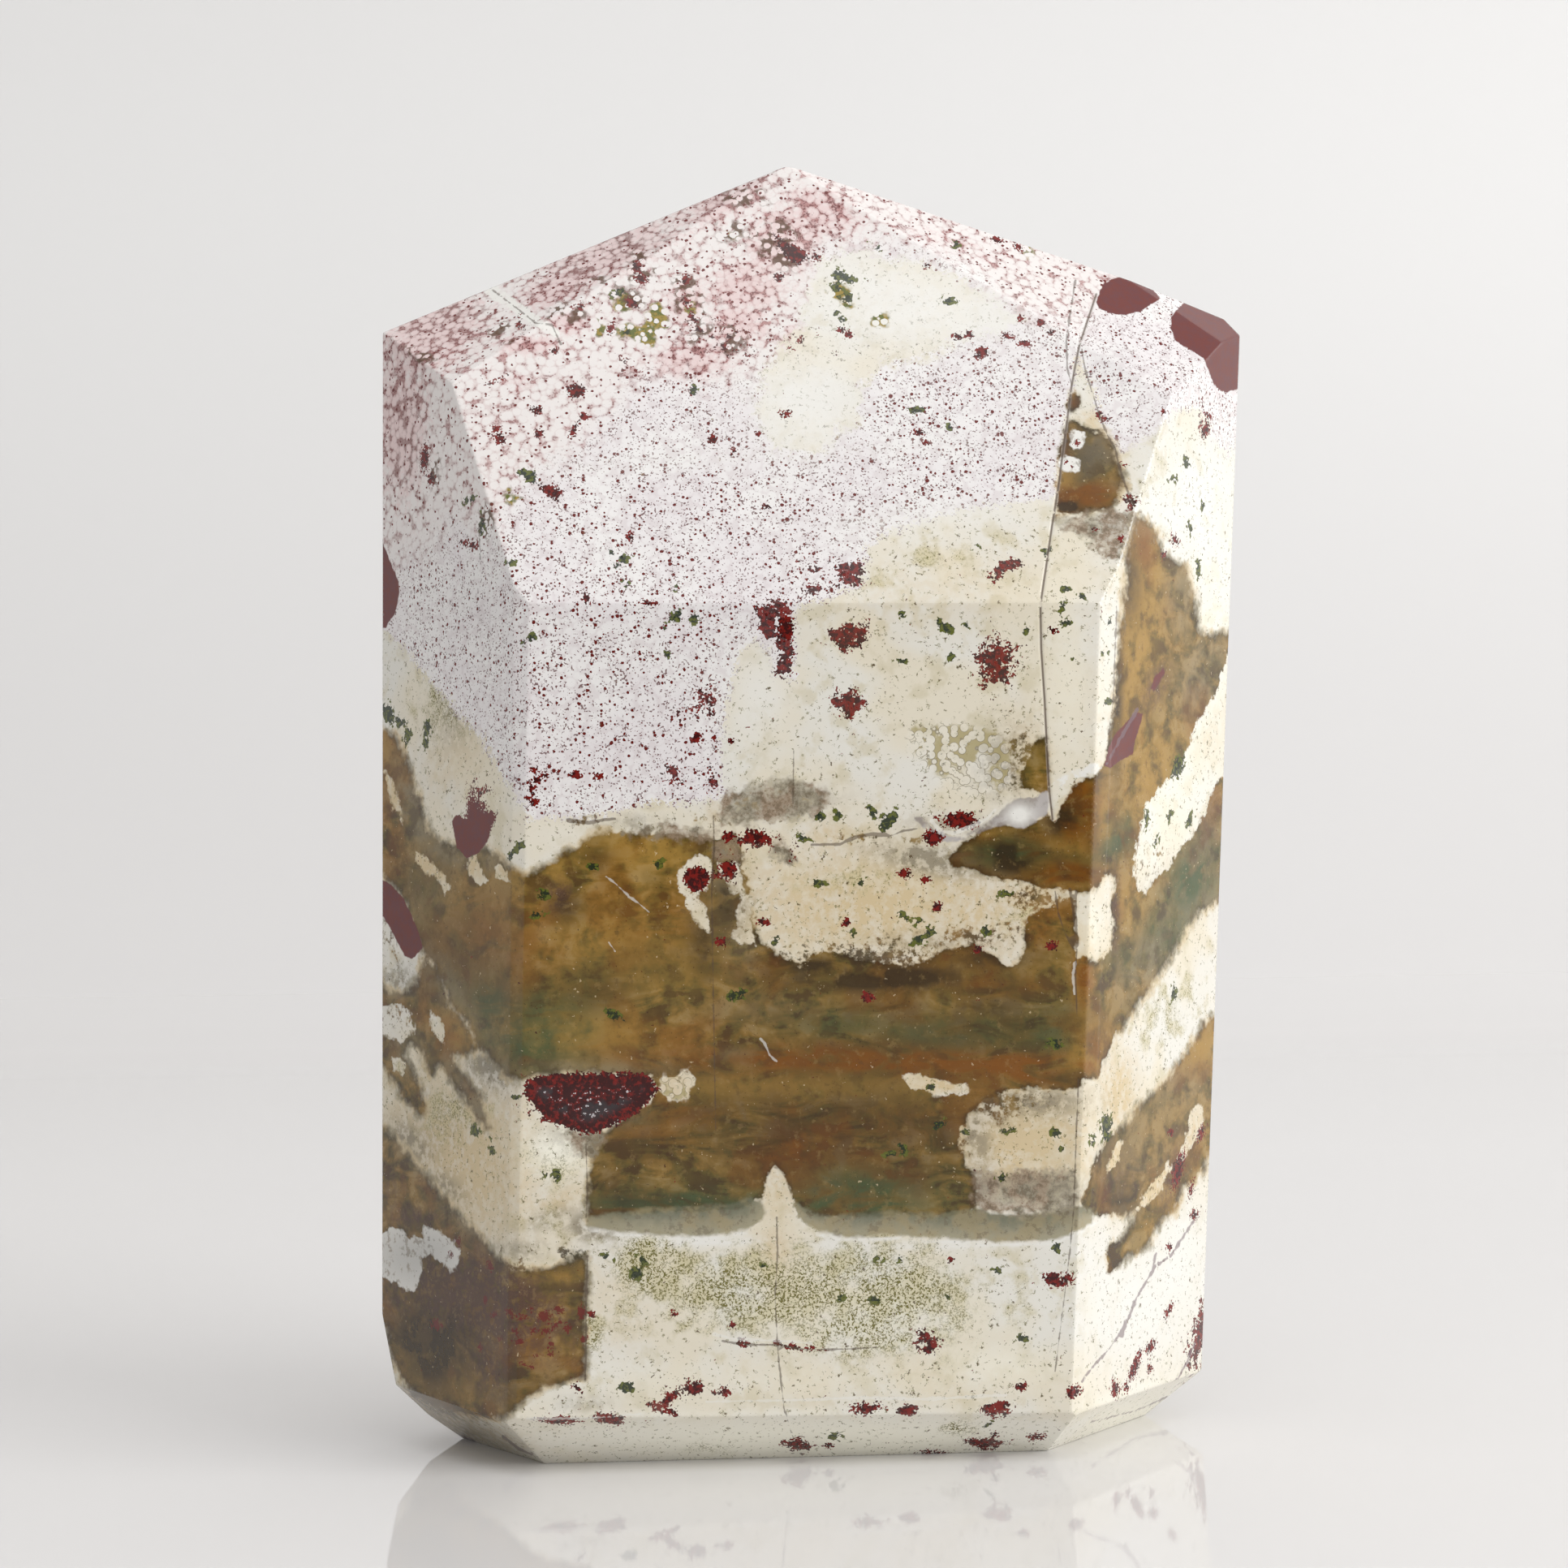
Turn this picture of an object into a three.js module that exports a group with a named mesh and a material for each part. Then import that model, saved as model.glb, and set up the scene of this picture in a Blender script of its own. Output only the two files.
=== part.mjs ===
// A polished jasper tower: one solid stone, cut by hand to a flattened six-sided prism
// with a pointed top, and standing on a flat foot. Millimetres, +Z up, front toward -Y.
//
// The stone is convex, so every face lies in one cutting plane. A plane is given the way
// a stone cutter would set it:
//   turn   the way the face looks, in degrees round from the front (+ is to the right)
//   look   how far the face looks up, in degrees (0 is an upright face, - looks down)
//   reach  how far out the face would meet the ground, measured from the middle
import * as THREE from "three";
import { ConvexGeometry } from "three/addons/geometries/ConvexGeometry.js";
import { mergeVertices } from "three/addons/utils/BufferGeometryUtils.js";

const HEIGHT = 110;
const TIP = new THREE.Vector3(-1.5, -1.2, HEIGHT);

// The six tall faces. The stone widens a little toward the shoulders and leans to the right.
const FRONT = { turn: 3.4, look: -0.6, reach: 16.3 };
const LEFT = { turn: -49.2, look: 0.9, reach: 31.35 };
const RIGHT = { turn: 54.4, look: -2.8, reach: 25.25 };
const BACK = { turn: 181.8, look: -0.8, reach: 16.8 };
const LEFT_BACK = { turn: -129.6, look: 0.6, reach: 27.25 };
const RIGHT_BACK = { turn: 132.8, look: -1.8, reach: 26.2 };

// The narrow flats that ease the two upright corners of the front face.
const LEFT_FLAT = { turn: -22.9, look: 0.3, reach: 26.4 };
const RIGHT_FLAT = { turn: 42.3, look: -2.3, reach: 24.6 };

// The same kind of flat on the two corners of the back face, given by its width.
const BACK_FLAT_WIDTH = 1.4;

// The facets that rise to the tip, and one small facet over the right shoulder.
const TIP_FRONT = { turn: 3.7, look: 22.2 };
const TIP_LEFT = { turn: -19.3, look: 43.5 };
const TIP_RIGHT = { turn: 21, look: 39.6 };
const TIP_BACK = { turn: 180.5, look: 26 };
const TIP_LEFT_BACK = { turn: 199, look: 34 };
const TIP_RIGHT_BACK = { turn: 142.3, look: 63.5 };
const RIGHT_SHOULDER = { turn: 35.8, look: 47, reach: 122.65 };

// The bevel round the foot, a little under 5 mm high, and the larger cut at the left end.
const FOOT_FRONT = { turn: 2.3, look: -46.6, reach: 11.7 };
const FOOT_LEFT = { turn: -52.8, look: -48.6, reach: 26.4 };
const FOOT_RIGHT = { turn: 54.2, look: -46.4, reach: 21.35 };
const FOOT_BACK = { turn: 181.8, look: -46, reach: 12.3 };
const FOOT_LEFT_BACK = { turn: -129.6, look: -46, reach: 22.85 };
const FOOT_RIGHT_BACK = { turn: 125.3, look: -47.5, reach: 24.4 };
const LEFT_HEEL = { turn: -114, look: -17.6, reach: 29.85 };

// Two corners nearer than this are one corner.
const SAME_CORNER = 1e-3;
const ON_PLANE = 1e-6;

const STONE_COLOUR = 0x9c8670;
const STONE_ROUGHNESS = 0.16;

function directionOf({ turn, look }) {
  const around = THREE.MathUtils.degToRad(turn);
  const up = THREE.MathUtils.degToRad(look);
  return new THREE.Vector3(
    Math.sin(around) * Math.cos(up),
    -Math.cos(around) * Math.cos(up),
    Math.sin(up),
  );
}

// A face that meets the ground at its reach.
function faceAtReach(face) {
  const normal = directionOf(face);
  const distance = face.reach * Math.cos(THREE.MathUtils.degToRad(face.look));
  return { normal, distance };
}

// A facet that runs through the tip.
function facetToTip(facet) {
  const normal = directionOf(facet);
  return { normal, distance: normal.dot(TIP) };
}

// The point where three planes meet, or null where they don't meet in one.
function meetingPoint(a, b, c) {
  const system = new THREE.Matrix3().set(
    a.normal.x, a.normal.y, a.normal.z,
    b.normal.x, b.normal.y, b.normal.z,
    c.normal.x, c.normal.y, c.normal.z,
  );
  if (Math.abs(system.determinant()) < ON_PLANE) {
    return null;
  }
  const distances = new THREE.Vector3(a.distance, b.distance, c.distance);
  return distances.applyMatrix3(system.invert());
}

// A narrow flat of the given width across the upright corner between two tall faces.
function flatAcrossCorner(one, other, width) {
  const level = { normal: new THREE.Vector3(0, 0, 1), distance: HEIGHT / 2 };
  const corner = meetingPoint(one, other, level);
  const normal = one.normal.clone().add(other.normal).normalize();
  const bend = one.normal.angleTo(other.normal);
  const inset = (width / 2) * Math.tan(bend / 2);
  return { normal, distance: normal.dot(corner) - inset };
}

function cuttingPlanes() {
  const [left, right, leftBack, rightBack, back] = [LEFT, RIGHT, LEFT_BACK, RIGHT_BACK, BACK].map(faceAtReach);
  const others = [
    FRONT, LEFT_FLAT, RIGHT_FLAT, RIGHT_SHOULDER,
    FOOT_FRONT, FOOT_LEFT, FOOT_RIGHT, FOOT_BACK, FOOT_LEFT_BACK, FOOT_RIGHT_BACK, LEFT_HEEL,
  ].map(faceAtReach);
  const facets = [TIP_FRONT, TIP_LEFT, TIP_RIGHT, TIP_BACK, TIP_LEFT_BACK, TIP_RIGHT_BACK].map(facetToTip);
  const ground = { normal: new THREE.Vector3(0, 0, -1), distance: 0 };
  return [
    left, right, leftBack, rightBack, back, ...others, ...facets, ground,
    flatAcrossCorner(leftBack, back, BACK_FLAT_WIDTH),
    flatAcrossCorner(rightBack, back, BACK_FLAT_WIDTH),
  ];
}

// Every point where three planes meet on the stone, each listed once.
function stoneCorners(planes) {
  const corners = [];
  const isOnStone = (point) => planes.every((plane) => plane.normal.dot(point) <= plane.distance + ON_PLANE);
  const isNew = (point) => corners.every((corner) => corner.distanceTo(point) > SAME_CORNER);
  for (let i = 0; i < planes.length; i += 1) {
    for (let j = i + 1; j < planes.length; j += 1) {
      for (let k = j + 1; k < planes.length; k += 1) {
        const point = meetingPoint(planes[i], planes[j], planes[k]);
        if (point && isOnStone(point) && isNew(point)) {
          corners.push(point);
        }
      }
    }
  }
  return corners;
}

function towerGeometry() {
  const geometry = new ConvexGeometry(stoneCorners(cuttingPlanes()));
  geometry.deleteAttribute("normal");
  const closed = mergeVertices(geometry, SAME_CORNER);
  const flatShaded = closed.toNonIndexed();
  flatShaded.computeVertexNormals();
  return flatShaded;
}

const stone = new THREE.Mesh(
  towerGeometry(),
  new THREE.MeshStandardMaterial({ color: STONE_COLOUR, roughness: STONE_ROUGHNESS, metalness: 0 }),
);
stone.name = "jasper_tower";

const tower = new THREE.Group();
tower.add(stone);

export default tower;
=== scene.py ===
# A polished jasper tower on a pale, glossy table in soft studio light.
import math

import bpy
import numpy as np
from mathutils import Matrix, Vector, kdtree
from mathutils.geometry import delaunay_2d_cdt


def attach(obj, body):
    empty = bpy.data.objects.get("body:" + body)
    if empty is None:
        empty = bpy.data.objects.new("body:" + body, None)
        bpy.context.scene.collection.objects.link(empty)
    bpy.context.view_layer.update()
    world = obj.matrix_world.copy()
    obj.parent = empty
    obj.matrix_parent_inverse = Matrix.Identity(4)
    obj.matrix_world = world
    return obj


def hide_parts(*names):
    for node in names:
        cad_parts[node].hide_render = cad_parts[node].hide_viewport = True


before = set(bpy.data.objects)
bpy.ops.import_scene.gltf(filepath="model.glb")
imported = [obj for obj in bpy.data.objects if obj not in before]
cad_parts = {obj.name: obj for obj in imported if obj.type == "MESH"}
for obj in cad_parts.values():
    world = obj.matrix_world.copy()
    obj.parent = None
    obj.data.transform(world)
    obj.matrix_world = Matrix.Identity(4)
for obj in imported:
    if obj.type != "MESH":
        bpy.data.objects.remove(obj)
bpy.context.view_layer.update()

MM = 0.001
NODE = "jasper_tower"

# The camera is level, as high as the middle of the stone, and leans a little to one side.
PICTURE_SIDE = 1932
CAMERA_PLACE = Vector((-2.7, -266.3, 56.2)) * MM
CAMERA_LEAN = math.radians(0.98)
LENS = 70.0
SENSOR = 36.0
CLIP_NEAR, CLIP_FAR = 1 * MM, 10.0
PIXELS_PER_TANGENT = PICTURE_SIDE * LENS / SENSOR
PIXELS_PER_MM = 15.0

# Mesh fineness, in metres.
FINE_STEP = 0.46 * MM
COARSE_STEP = 0.90 * MM
LINE_STEP = 0.30 * MM
MARK_GAP = 0.09 * MM
EDGE_RADIUS = 0.12 * MM
EDGE_ROWS = (0.05 * MM, 0.11 * MM, 0.22 * MM)
ROUNDING_ROUNDS = 40
GROOVE_DEPTH = 0.07 * MM
GROOVE_HALF_WIDTH = 0.14 * MM
GROOVE_ROWS = (-0.30 * MM, -0.16 * MM, -0.06 * MM, 0.06 * MM, 0.16 * MM, 0.30 * MM)

# How far inside an edge the points of markings and the rows of points lie, the least gap between two points,
# and the gap round them in which the grid has none, as a part of its step.
MARK_INSET = EDGE_ROWS[-1] * 1.2
ROW_INSET = EDGE_ROWS[0] * 0.98
SMALLEST_GAP = EDGE_ROWS[0] * 0.6
GRID_CLEARANCE = 0.45

# The places round a marking that the skin has points at: how many round an ellipse, and how much wider
# apart round an outline than along a line.
RING_PLACES = 8
OUTLINE_SPACING = 1.5

# How far from the fissure the normals are made again.
GROOVE_REACH = 4 * GROOVE_HALF_WIDTH

# When two places, corners or directions count as the same, and sizes too small to divide by.
ON_PLANE = 4e-6
SAME_CORNER = 20e-6
SAME_WAY = 0.9999
SAME_POINT = 1e-9
TINY = 1e-9
NO_AREA = 1e-20

# How much of a face's normal points up or down. Below the first value the face is upright, and from the
# second it is nearly level.
UPRIGHT_BELOW, LEVEL_FROM = 0.1, 0.9

# The kind of filling that keeps the triangles inside the outline.
FILL_INSIDE = 1

# How far from a marking, in pixels, a place still counts as near it.
FAR = 60.0

# The layers run through the stone behind the ridge: how steeply they rise toward the back, where the
# pattern turns into them and over what depth, and the heights between which the rise sets in.
LAYER_SLOPE = 0.85
RIDGE_PLACE = -1.0 * MM
TURN_DEPTH = 12.0 * MM
SLOPE_FROM, SLOPE_TO = 100.0 * MM, 72.0 * MM

# Markings of the stone, in pixels of the picture, read off the stone. Each outline is a few places.

UPPER = [
    [(300, 100), (1700, 100), (1700, 545), (1526, 545), (1512, 562), (1494, 540), (1480, 505), (1443, 505),
     (1432, 535), (1415, 545), (1395, 555), (1380, 560), (1372, 548), (1362, 528), (1352, 505), (1345, 475),
     (1336, 455), (1328, 440), (1322, 478), (1314, 520), (1306, 560), (1302, 612), (1250, 622), (1190, 628),
     (1140, 640), (1095, 655), (1070, 675), (1060, 720), (1010, 740), (985, 748), (978, 752), (978, 838),
     (950, 836), (948, 800), (930, 790), (914, 800), (903, 840), (893, 880), (888, 930), (890, 985),
     (850, 988), (800, 990), (750, 1002), (700, 1008), (650, 1010), (640, 985), (620, 955), (605, 930),
     (590, 905), (560, 875), (540, 850), (515, 822), (492, 795), (471, 772), (430, 760), (300, 760)]]

PINK_NET = [
    [(300, 100), (1700, 100), (1700, 330), (1400, 340), (1330, 400), (1250, 390), (1190, 330), (1100, 300),
     (1020, 310), (1000, 400), (1000, 450), (900, 475), (800, 460), (760, 500), (700, 560), (640, 600),
     (610, 660), (560, 640), (520, 690), (470, 700), (300, 700)]]

CREAM_CLOUD = [
    [(1010, 318), (1060, 312), (1120, 320), (1180, 347), (1230, 372), (1260, 388), (1258, 402), (1215, 412),
     (1180, 422), (1150, 440), (1085, 450), (1062, 480), (1058, 515), (1030, 540), (1000, 560), (960, 555),
     (932, 520), (935, 470), (960, 430), (985, 400), (1002, 350)],
    [(1385, 560), (1410, 545), (1440, 520), (1400, 640), (1392, 612)]]

BROWN = [
    # the broad band across the front
    [(648, 1077), (665, 1070), (690, 1055), (712, 1042), (727, 1029), (745, 1024), (800, 1026), (850, 1030),
     (880, 1033), (905, 1028), (915, 1040), (915, 1075), (925, 1095), (930, 1150), (942, 1165), (960, 1178),
     (985, 1192), (1000, 1178), (1018, 1170), (1060, 1184), (1110, 1190), (1145, 1182), (1160, 1170),
     (1200, 1163), (1222, 1178), (1245, 1190), (1262, 1178), (1262, 1135), (1280, 1122), (1300, 1115),
     (1324, 1102), (1332, 1340), (1300, 1342), (1270, 1340), (1236, 1346), (1212, 1358), (1196, 1374),
     (1184, 1392), (1182, 1412), (1190, 1432), (1200, 1450), (1206, 1470), (1202, 1492), (1150, 1500),
     (1100, 1497), (1050, 1500), (1010, 1502), (985, 1490), (974, 1470), (966, 1450), (955, 1436),
     (945, 1450), (943, 1475), (925, 1482), (900, 1490), (850, 1492), (800, 1494), (760, 1499), (725, 1503),
     (724, 1480), (729, 1440), (727, 1404), (752, 1390), (795, 1362), (812, 1343), (802, 1325), (700, 1322),
     (650, 1328), (640, 1332), (622, 1325), (605, 1305), (590, 1290), (575, 1260), (555, 1240), (545, 1215),
     (530, 1185), (520, 1172), (505, 1130), (495, 1105), (480, 1088), (471, 1080), (400, 1070), (400, 890),
     (471, 900), (485, 905), (497, 925), (505, 945), (510, 965), (522, 1000), (528, 1025), (540, 1035),
     (558, 1040), (600, 1045), (612, 1052), (628, 1070)],
    # between the cream islands low on the left face
    [(400, 1205), (471, 1215), (480, 1222), (500, 1222), (512, 1215), (518, 1190), (522, 1175), (540, 1195),
     (556, 1240), (575, 1262), (592, 1295), (575, 1298), (560, 1300), (545, 1310), (532, 1325), (520, 1300),
     (508, 1285), (500, 1302), (520, 1345), (527, 1372), (518, 1378), (500, 1355), (475, 1318),
     (400, 1290)],
    [(520, 1278), (545, 1285), (560, 1310), (580, 1335), (592, 1350), (597, 1370), (605, 1390), (598, 1392),
     (585, 1375), (570, 1350), (552, 1328), (538, 1305)],
    # the lower left corner
    [(400, 1380), (471, 1388), (485, 1400), (505, 1425), (530, 1455), (560, 1490), (590, 1522), (612, 1548),
     (630, 1560), (655, 1566), (680, 1562), (700, 1550), (722, 1548), (722, 1700), (700, 1702), (672, 1710),
     (650, 1722), (632, 1738), (622, 1747), (600, 1748), (570, 1742), (540, 1736), (512, 1722), (497, 1700),
     (485, 1680), (478, 1655), (471, 1630), (400, 1620)],
    # the right face's column and its upper slanted band, with the lens on the front
    [(1398, 634), (1410, 640), (1420, 648), (1427, 665), (1434, 682), (1445, 690), (1462, 700), (1468, 720),
     (1473, 745), (1476, 778), (1495, 782), (1600, 770), (1600, 1090), (1498, 1112), (1488, 1120),
     (1478, 1122), (1465, 1140), (1450, 1165), (1432, 1195), (1420, 1215), (1400, 1240), (1385, 1265),
     (1375, 1275), (1357, 1315), (1350, 1328), (1335, 1330), (1326, 1338), (1318, 1338), (1318, 1178),
     (1328, 1178), (1340, 1182), (1350, 1188), (1360, 1180), (1370, 1165), (1372, 1140), (1368, 1110),
     (1375, 1090), (1370, 1076), (1362, 1078), (1345, 1100), (1322, 1100), (1310, 1097), (1280, 1092),
     (1240, 1084), (1200, 1072), (1160, 1062), (1178, 1046), (1195, 1034), (1210, 1022), (1240, 1016),
     (1262, 1020), (1280, 1010), (1290, 1002), (1300, 1016), (1308, 990), (1320, 972), (1335, 960),
     (1352, 955), (1362, 935), (1366, 905), (1372, 880), (1374, 850), (1378, 800), (1382, 760), (1388, 700),
     (1385, 680), (1392, 655)],
    # the right face's lower slanted band
    [(1600, 1235), (1497, 1252), (1485, 1258), (1470, 1285), (1455, 1307), (1440, 1327), (1425, 1342),
     (1412, 1356), (1400, 1367), (1390, 1385), (1380, 1392), (1368, 1395), (1360, 1410), (1350, 1430),
     (1343, 1450), (1338, 1465), (1333, 1480), (1335, 1495), (1348, 1498), (1365, 1496), (1385, 1500),
     (1400, 1492), (1392, 1512), (1380, 1528), (1367, 1533), (1362, 1548), (1368, 1566), (1378, 1560),
     (1390, 1548), (1402, 1545), (1412, 1538), (1420, 1520), (1430, 1504), (1446, 1494), (1453, 1478),
     (1458, 1462), (1472, 1455), (1484, 1438), (1494, 1415), (1600, 1390)],
    # the wedge beside the fissure
    [(1316, 516), (1326, 518), (1336, 528), (1350, 531), (1362, 534), (1374, 552), (1380, 575), (1388, 600),
     (1380, 606), (1374, 620), (1368, 628), (1330, 633), (1300, 638), (1302, 600), (1308, 550)],
    [(1318, 484), (1326, 484), (1333, 492), (1330, 503), (1320, 508), (1315, 498)],
    # beside the fissure below the honeycomb
    [(1274, 914), (1290, 906), (1293, 940), (1294, 975), (1272, 978), (1256, 970), (1262, 945),
     (1270, 930)],
    # layers that come to the surface only at the back
    [(200, 1850), (1700, 1870), (1700, 1990), (1300, 2010), (1000, 1985), (700, 2010), (200, 1980)],
    [(200, 2120), (800, 2100), (1700, 2130), (1700, 2260), (1100, 2240), (200, 2270)]]

AGATE_RIM = [
    [(722, 1500), (760, 1494), (800, 1488), (850, 1486), (900, 1484), (925, 1476), (940, 1478), (946, 1492),
     (940, 1504), (922, 1514), (890, 1521), (850, 1524), (820, 1521), (780, 1519), (750, 1516),
     (725, 1510)],
    [(966, 1484), (980, 1482), (1010, 1497), (1050, 1496), (1100, 1492), (1150, 1496), (1200, 1488),
     (1250, 1497), (1300, 1492), (1330, 1484), (1352, 1494), (1345, 1508), (1320, 1520), (1290, 1528),
     (1230, 1530), (1150, 1525), (1100, 1522), (1050, 1525), (1020, 1520), (990, 1510), (972, 1498)],
    [(200, 1985), (700, 2012), (1000, 1988), (1300, 2012), (1700, 1992), (1700, 2020), (1300, 2040),
     (1000, 2014), (700, 2036), (200, 2010)]]

GREY_AGATE = [
    [(1204, 1448), (1222, 1452), (1250, 1444), (1290, 1446), (1325, 1443), (1325, 1496), (1215, 1494),
     (1200, 1476)],
    [(1300, 641), (1320, 636), (1355, 632), (1390, 630), (1399, 632), (1394, 655), (1386, 674), (1379, 690),
     (1368, 688), (1352, 676), (1338, 664), (1328, 655), (1318, 649), (1304, 647)],
    [(885, 1004), (898, 982), (928, 970), (975, 962), (1008, 975), (1018, 990), (1002, 1003), (962, 1008),
     (920, 1013), (895, 1012)],
    [(770, 1026), (800, 1020), (850, 1020), (882, 1024), (882, 1034), (850, 1030), (800, 1028)],
    [(884, 1034), (911, 1034), (912, 1060), (884, 1060)],
    [(952, 1040), (960, 1040), (972, 1048), (979, 1050), (978, 1060), (962, 1058), (954, 1050)],
    [(700, 1396), (735, 1388), (745, 1402), (730, 1425), (712, 1418)]]

PALE_AGATE = [
    [(1128, 1008), (1138, 1008), (1150, 1022), (1175, 1032), (1195, 1027), (1222, 1010), (1238, 995),
     (1250, 985), (1275, 982), (1290, 975), (1294, 985), (1290, 1002), (1280, 1010), (1262, 1020),
     (1235, 1016), (1215, 1022), (1190, 1034), (1168, 1038), (1146, 1028)]]

CREAM_OVER = [
    # the slanted cream band on the right face
    [(1600, 790), (1512, 808), (1505, 830), (1498, 855), (1490, 868), (1478, 885), (1470, 900), (1462, 925),
     (1452, 945), (1440, 960), (1425, 972), (1415, 990), (1405, 1015), (1400, 1035), (1398, 1060),
     (1398, 1080), (1402, 1095), (1412, 1102), (1418, 1090), (1428, 1076), (1436, 1074), (1445, 1058),
     (1455, 1045), (1465, 1032), (1480, 1015), (1488, 990), (1495, 970), (1508, 956), (1600, 940)],
    # tongues and islands of the left face
    [(513, 1050), (525, 1055), (535, 1065), (550, 1078), (553, 1095), (547, 1100), (540, 1080), (525, 1078),
     (515, 1065)],
    [(576, 1056), (586, 1054), (592, 1072), (601, 1085), (592, 1091), (582, 1083), (576, 1070)],
    [(613, 1066), (625, 1073), (624, 1086), (611, 1080)],
    [(475, 948), (485, 965), (497, 1000), (496, 1017), (484, 995), (475, 970)],
    [(530, 1245), (540, 1255), (550, 1275), (548, 1287), (538, 1278), (532, 1262)],
    [(484, 1306), (492, 1303), (499, 1312), (496, 1322), (487, 1320)],
    [(471, 1240), (490, 1236), (506, 1248), (510, 1268), (496, 1284), (480, 1280), (471, 1272)],
    # the spur and seams of the lower front
    [(955, 1436), (962, 1442), (968, 1455), (973, 1470), (976, 1488), (990, 1505), (1005, 1516),
     (1000, 1530), (925, 1530), (922, 1516), (938, 1504), (946, 1490), (940, 1476), (946, 1450)],
    [(1112, 1328), (1130, 1323), (1150, 1328), (1175, 1335), (1200, 1336), (1194, 1346), (1160, 1350),
     (1140, 1345), (1122, 1342)],
    # streaks in the right face's lower band
    [(1399, 1490), (1411, 1468), (1427, 1449), (1440, 1431), (1444, 1440), (1436, 1456), (1426, 1473),
     (1415, 1486)],
    [(1468, 1366), (1478, 1360), (1484, 1380), (1479, 1400), (1468, 1413), (1456, 1431), (1450, 1428),
     (1460, 1405), (1464, 1385)],
    [(1378, 1408), (1386, 1404), (1378, 1427), (1368, 1442), (1361, 1451), (1366, 1432)],
    # the ragged cream patches in the grey fault beside the red eye
    [(846, 1060), (862, 1052), (875, 1060), (877, 1072), (872, 1096), (858, 1100), (846, 1106), (836, 1098),
     (834, 1080)],
    [(842, 1106), (858, 1104), (870, 1118), (874, 1135), (872, 1150), (860, 1138), (846, 1120)],
    [(884, 1062), (912, 1062), (916, 1098), (905, 1102), (896, 1090), (884, 1080)],
    [(905, 1128), (916, 1100), (928, 1100), (926, 1150), (932, 1166), (912, 1164), (902, 1150),
     (915, 1140)],
    # low beside the front's left edge
    [(700, 1708), (712, 1702), (722, 1704), (722, 1752), (640, 1746), (650, 1734), (668, 1722)],
    # the yellow patch beside the maroon one
    [(815, 1330), (832, 1324), (848, 1318), (856, 1330), (850, 1350), (835, 1357), (823, 1354),
     (814, 1342)]]

WHITE = [
    [(400, 1522), (471, 1522), (480, 1514), (495, 1514), (503, 1524), (520, 1525), (523, 1510), (535, 1515),
     (550, 1525), (562, 1530), (566, 1545), (562, 1565), (555, 1569), (545, 1556), (530, 1546), (520, 1550),
     (518, 1570), (512, 1590), (500, 1590), (485, 1580), (471, 1573), (400, 1570)],
    [(1300, 975), (1318, 960), (1338, 956), (1352, 952), (1358, 943), (1350, 940), (1330, 948), (1310, 955),
     (1298, 965)],
    # the pale healed crack at the left end of the top
    [(588, 346), (602, 346), (640, 372), (672, 396), (690, 408), (690, 420), (668, 408), (630, 384),
     (596, 360)]]

HONEYCOMB = [
    [(1115, 910), (1135, 893), (1170, 888), (1200, 896), (1228, 902), (1245, 925), (1248, 965), (1215, 982),
     (1175, 975), (1150, 955), (1125, 935)],
    [(818, 1330), (832, 1324), (848, 1320), (852, 1330), (846, 1348), (834, 1354), (824, 1350),
     (817, 1342)]]

RED_JASPER = [
    [(1351, 372), (1358, 352), (1372, 343), (1392, 340), (1412, 348), (1430, 368), (1420, 374), (1405, 383),
     (1388, 388), (1368, 386), (1354, 380)],
    [(1452, 380), (1462, 370), (1600, 330), (1600, 470), (1527, 478), (1512, 484), (1500, 480), (1492, 466),
     (1486, 448), (1484, 442), (1465, 430), (1448, 420), (1442, 404), (1444, 390)],
    # the star and the band of the left face
    [(557, 1012), (561, 1004), (568, 1004), (573, 1010), (575, 995), (578, 980), (581, 965), (590, 990),
     (600, 998), (613, 1001), (608, 1015), (603, 1030), (601, 1038), (590, 1050), (575, 1058), (563, 1045)],
    [(400, 1078), (471, 1084), (482, 1090), (496, 1105), (507, 1127), (516, 1150), (521, 1168), (508, 1182),
     (499, 1178), (489, 1160), (479, 1140), (471, 1128), (400, 1110)],
    [(1409, 878), (1404, 895), (1399, 912), (1395, 930), (1382, 936), (1368, 946), (1360, 943), (1365, 925),
     (1373, 906), (1385, 892), (1398, 878)],
    [(1418, 848), (1424, 832), (1433, 822), (1436, 828), (1428, 842), (1421, 852)],
    [(400, 655), (471, 664), (480, 690), (490, 715), (492, 735), (486, 758), (475, 773), (400, 780)]]

MAROON = [
    [(700, 477), (706, 473), (715, 472), (722, 479), (720, 487), (709, 490), (701, 491)],
    [(952, 287), (966, 297), (985, 305), (999, 318), (986, 326), (970, 319), (958, 303)],
    [(1003, 309), (1010, 314), (1012, 322), (1004, 320)],
    [(664, 598), (690, 598), (690, 606), (686, 619), (672, 609)],
    [(960, 764), (970, 758), (978, 762), (978, 782), (966, 792), (959, 780)],
    [(645, 1332), (662, 1325), (700, 1322), (760, 1322), (790, 1322), (803, 1328), (811, 1343), (797, 1361),
     (780, 1374), (760, 1386), (731, 1397), (714, 1396), (700, 1391), (684, 1385), (671, 1378), (658, 1365),
     (646, 1351)],
    [(848, 1705), (855, 1698), (862, 1704), (866, 1716), (856, 1722), (846, 1720)],
    [(1128, 1640), (1138, 1636), (1141, 1648), (1132, 1652)],
    [(1135, 1660), (1145, 1654), (1156, 1660), (1150, 1668), (1138, 1667)]]

# Ellipses: across, down, half width and half height, then a tilt in degrees if there is one.

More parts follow.
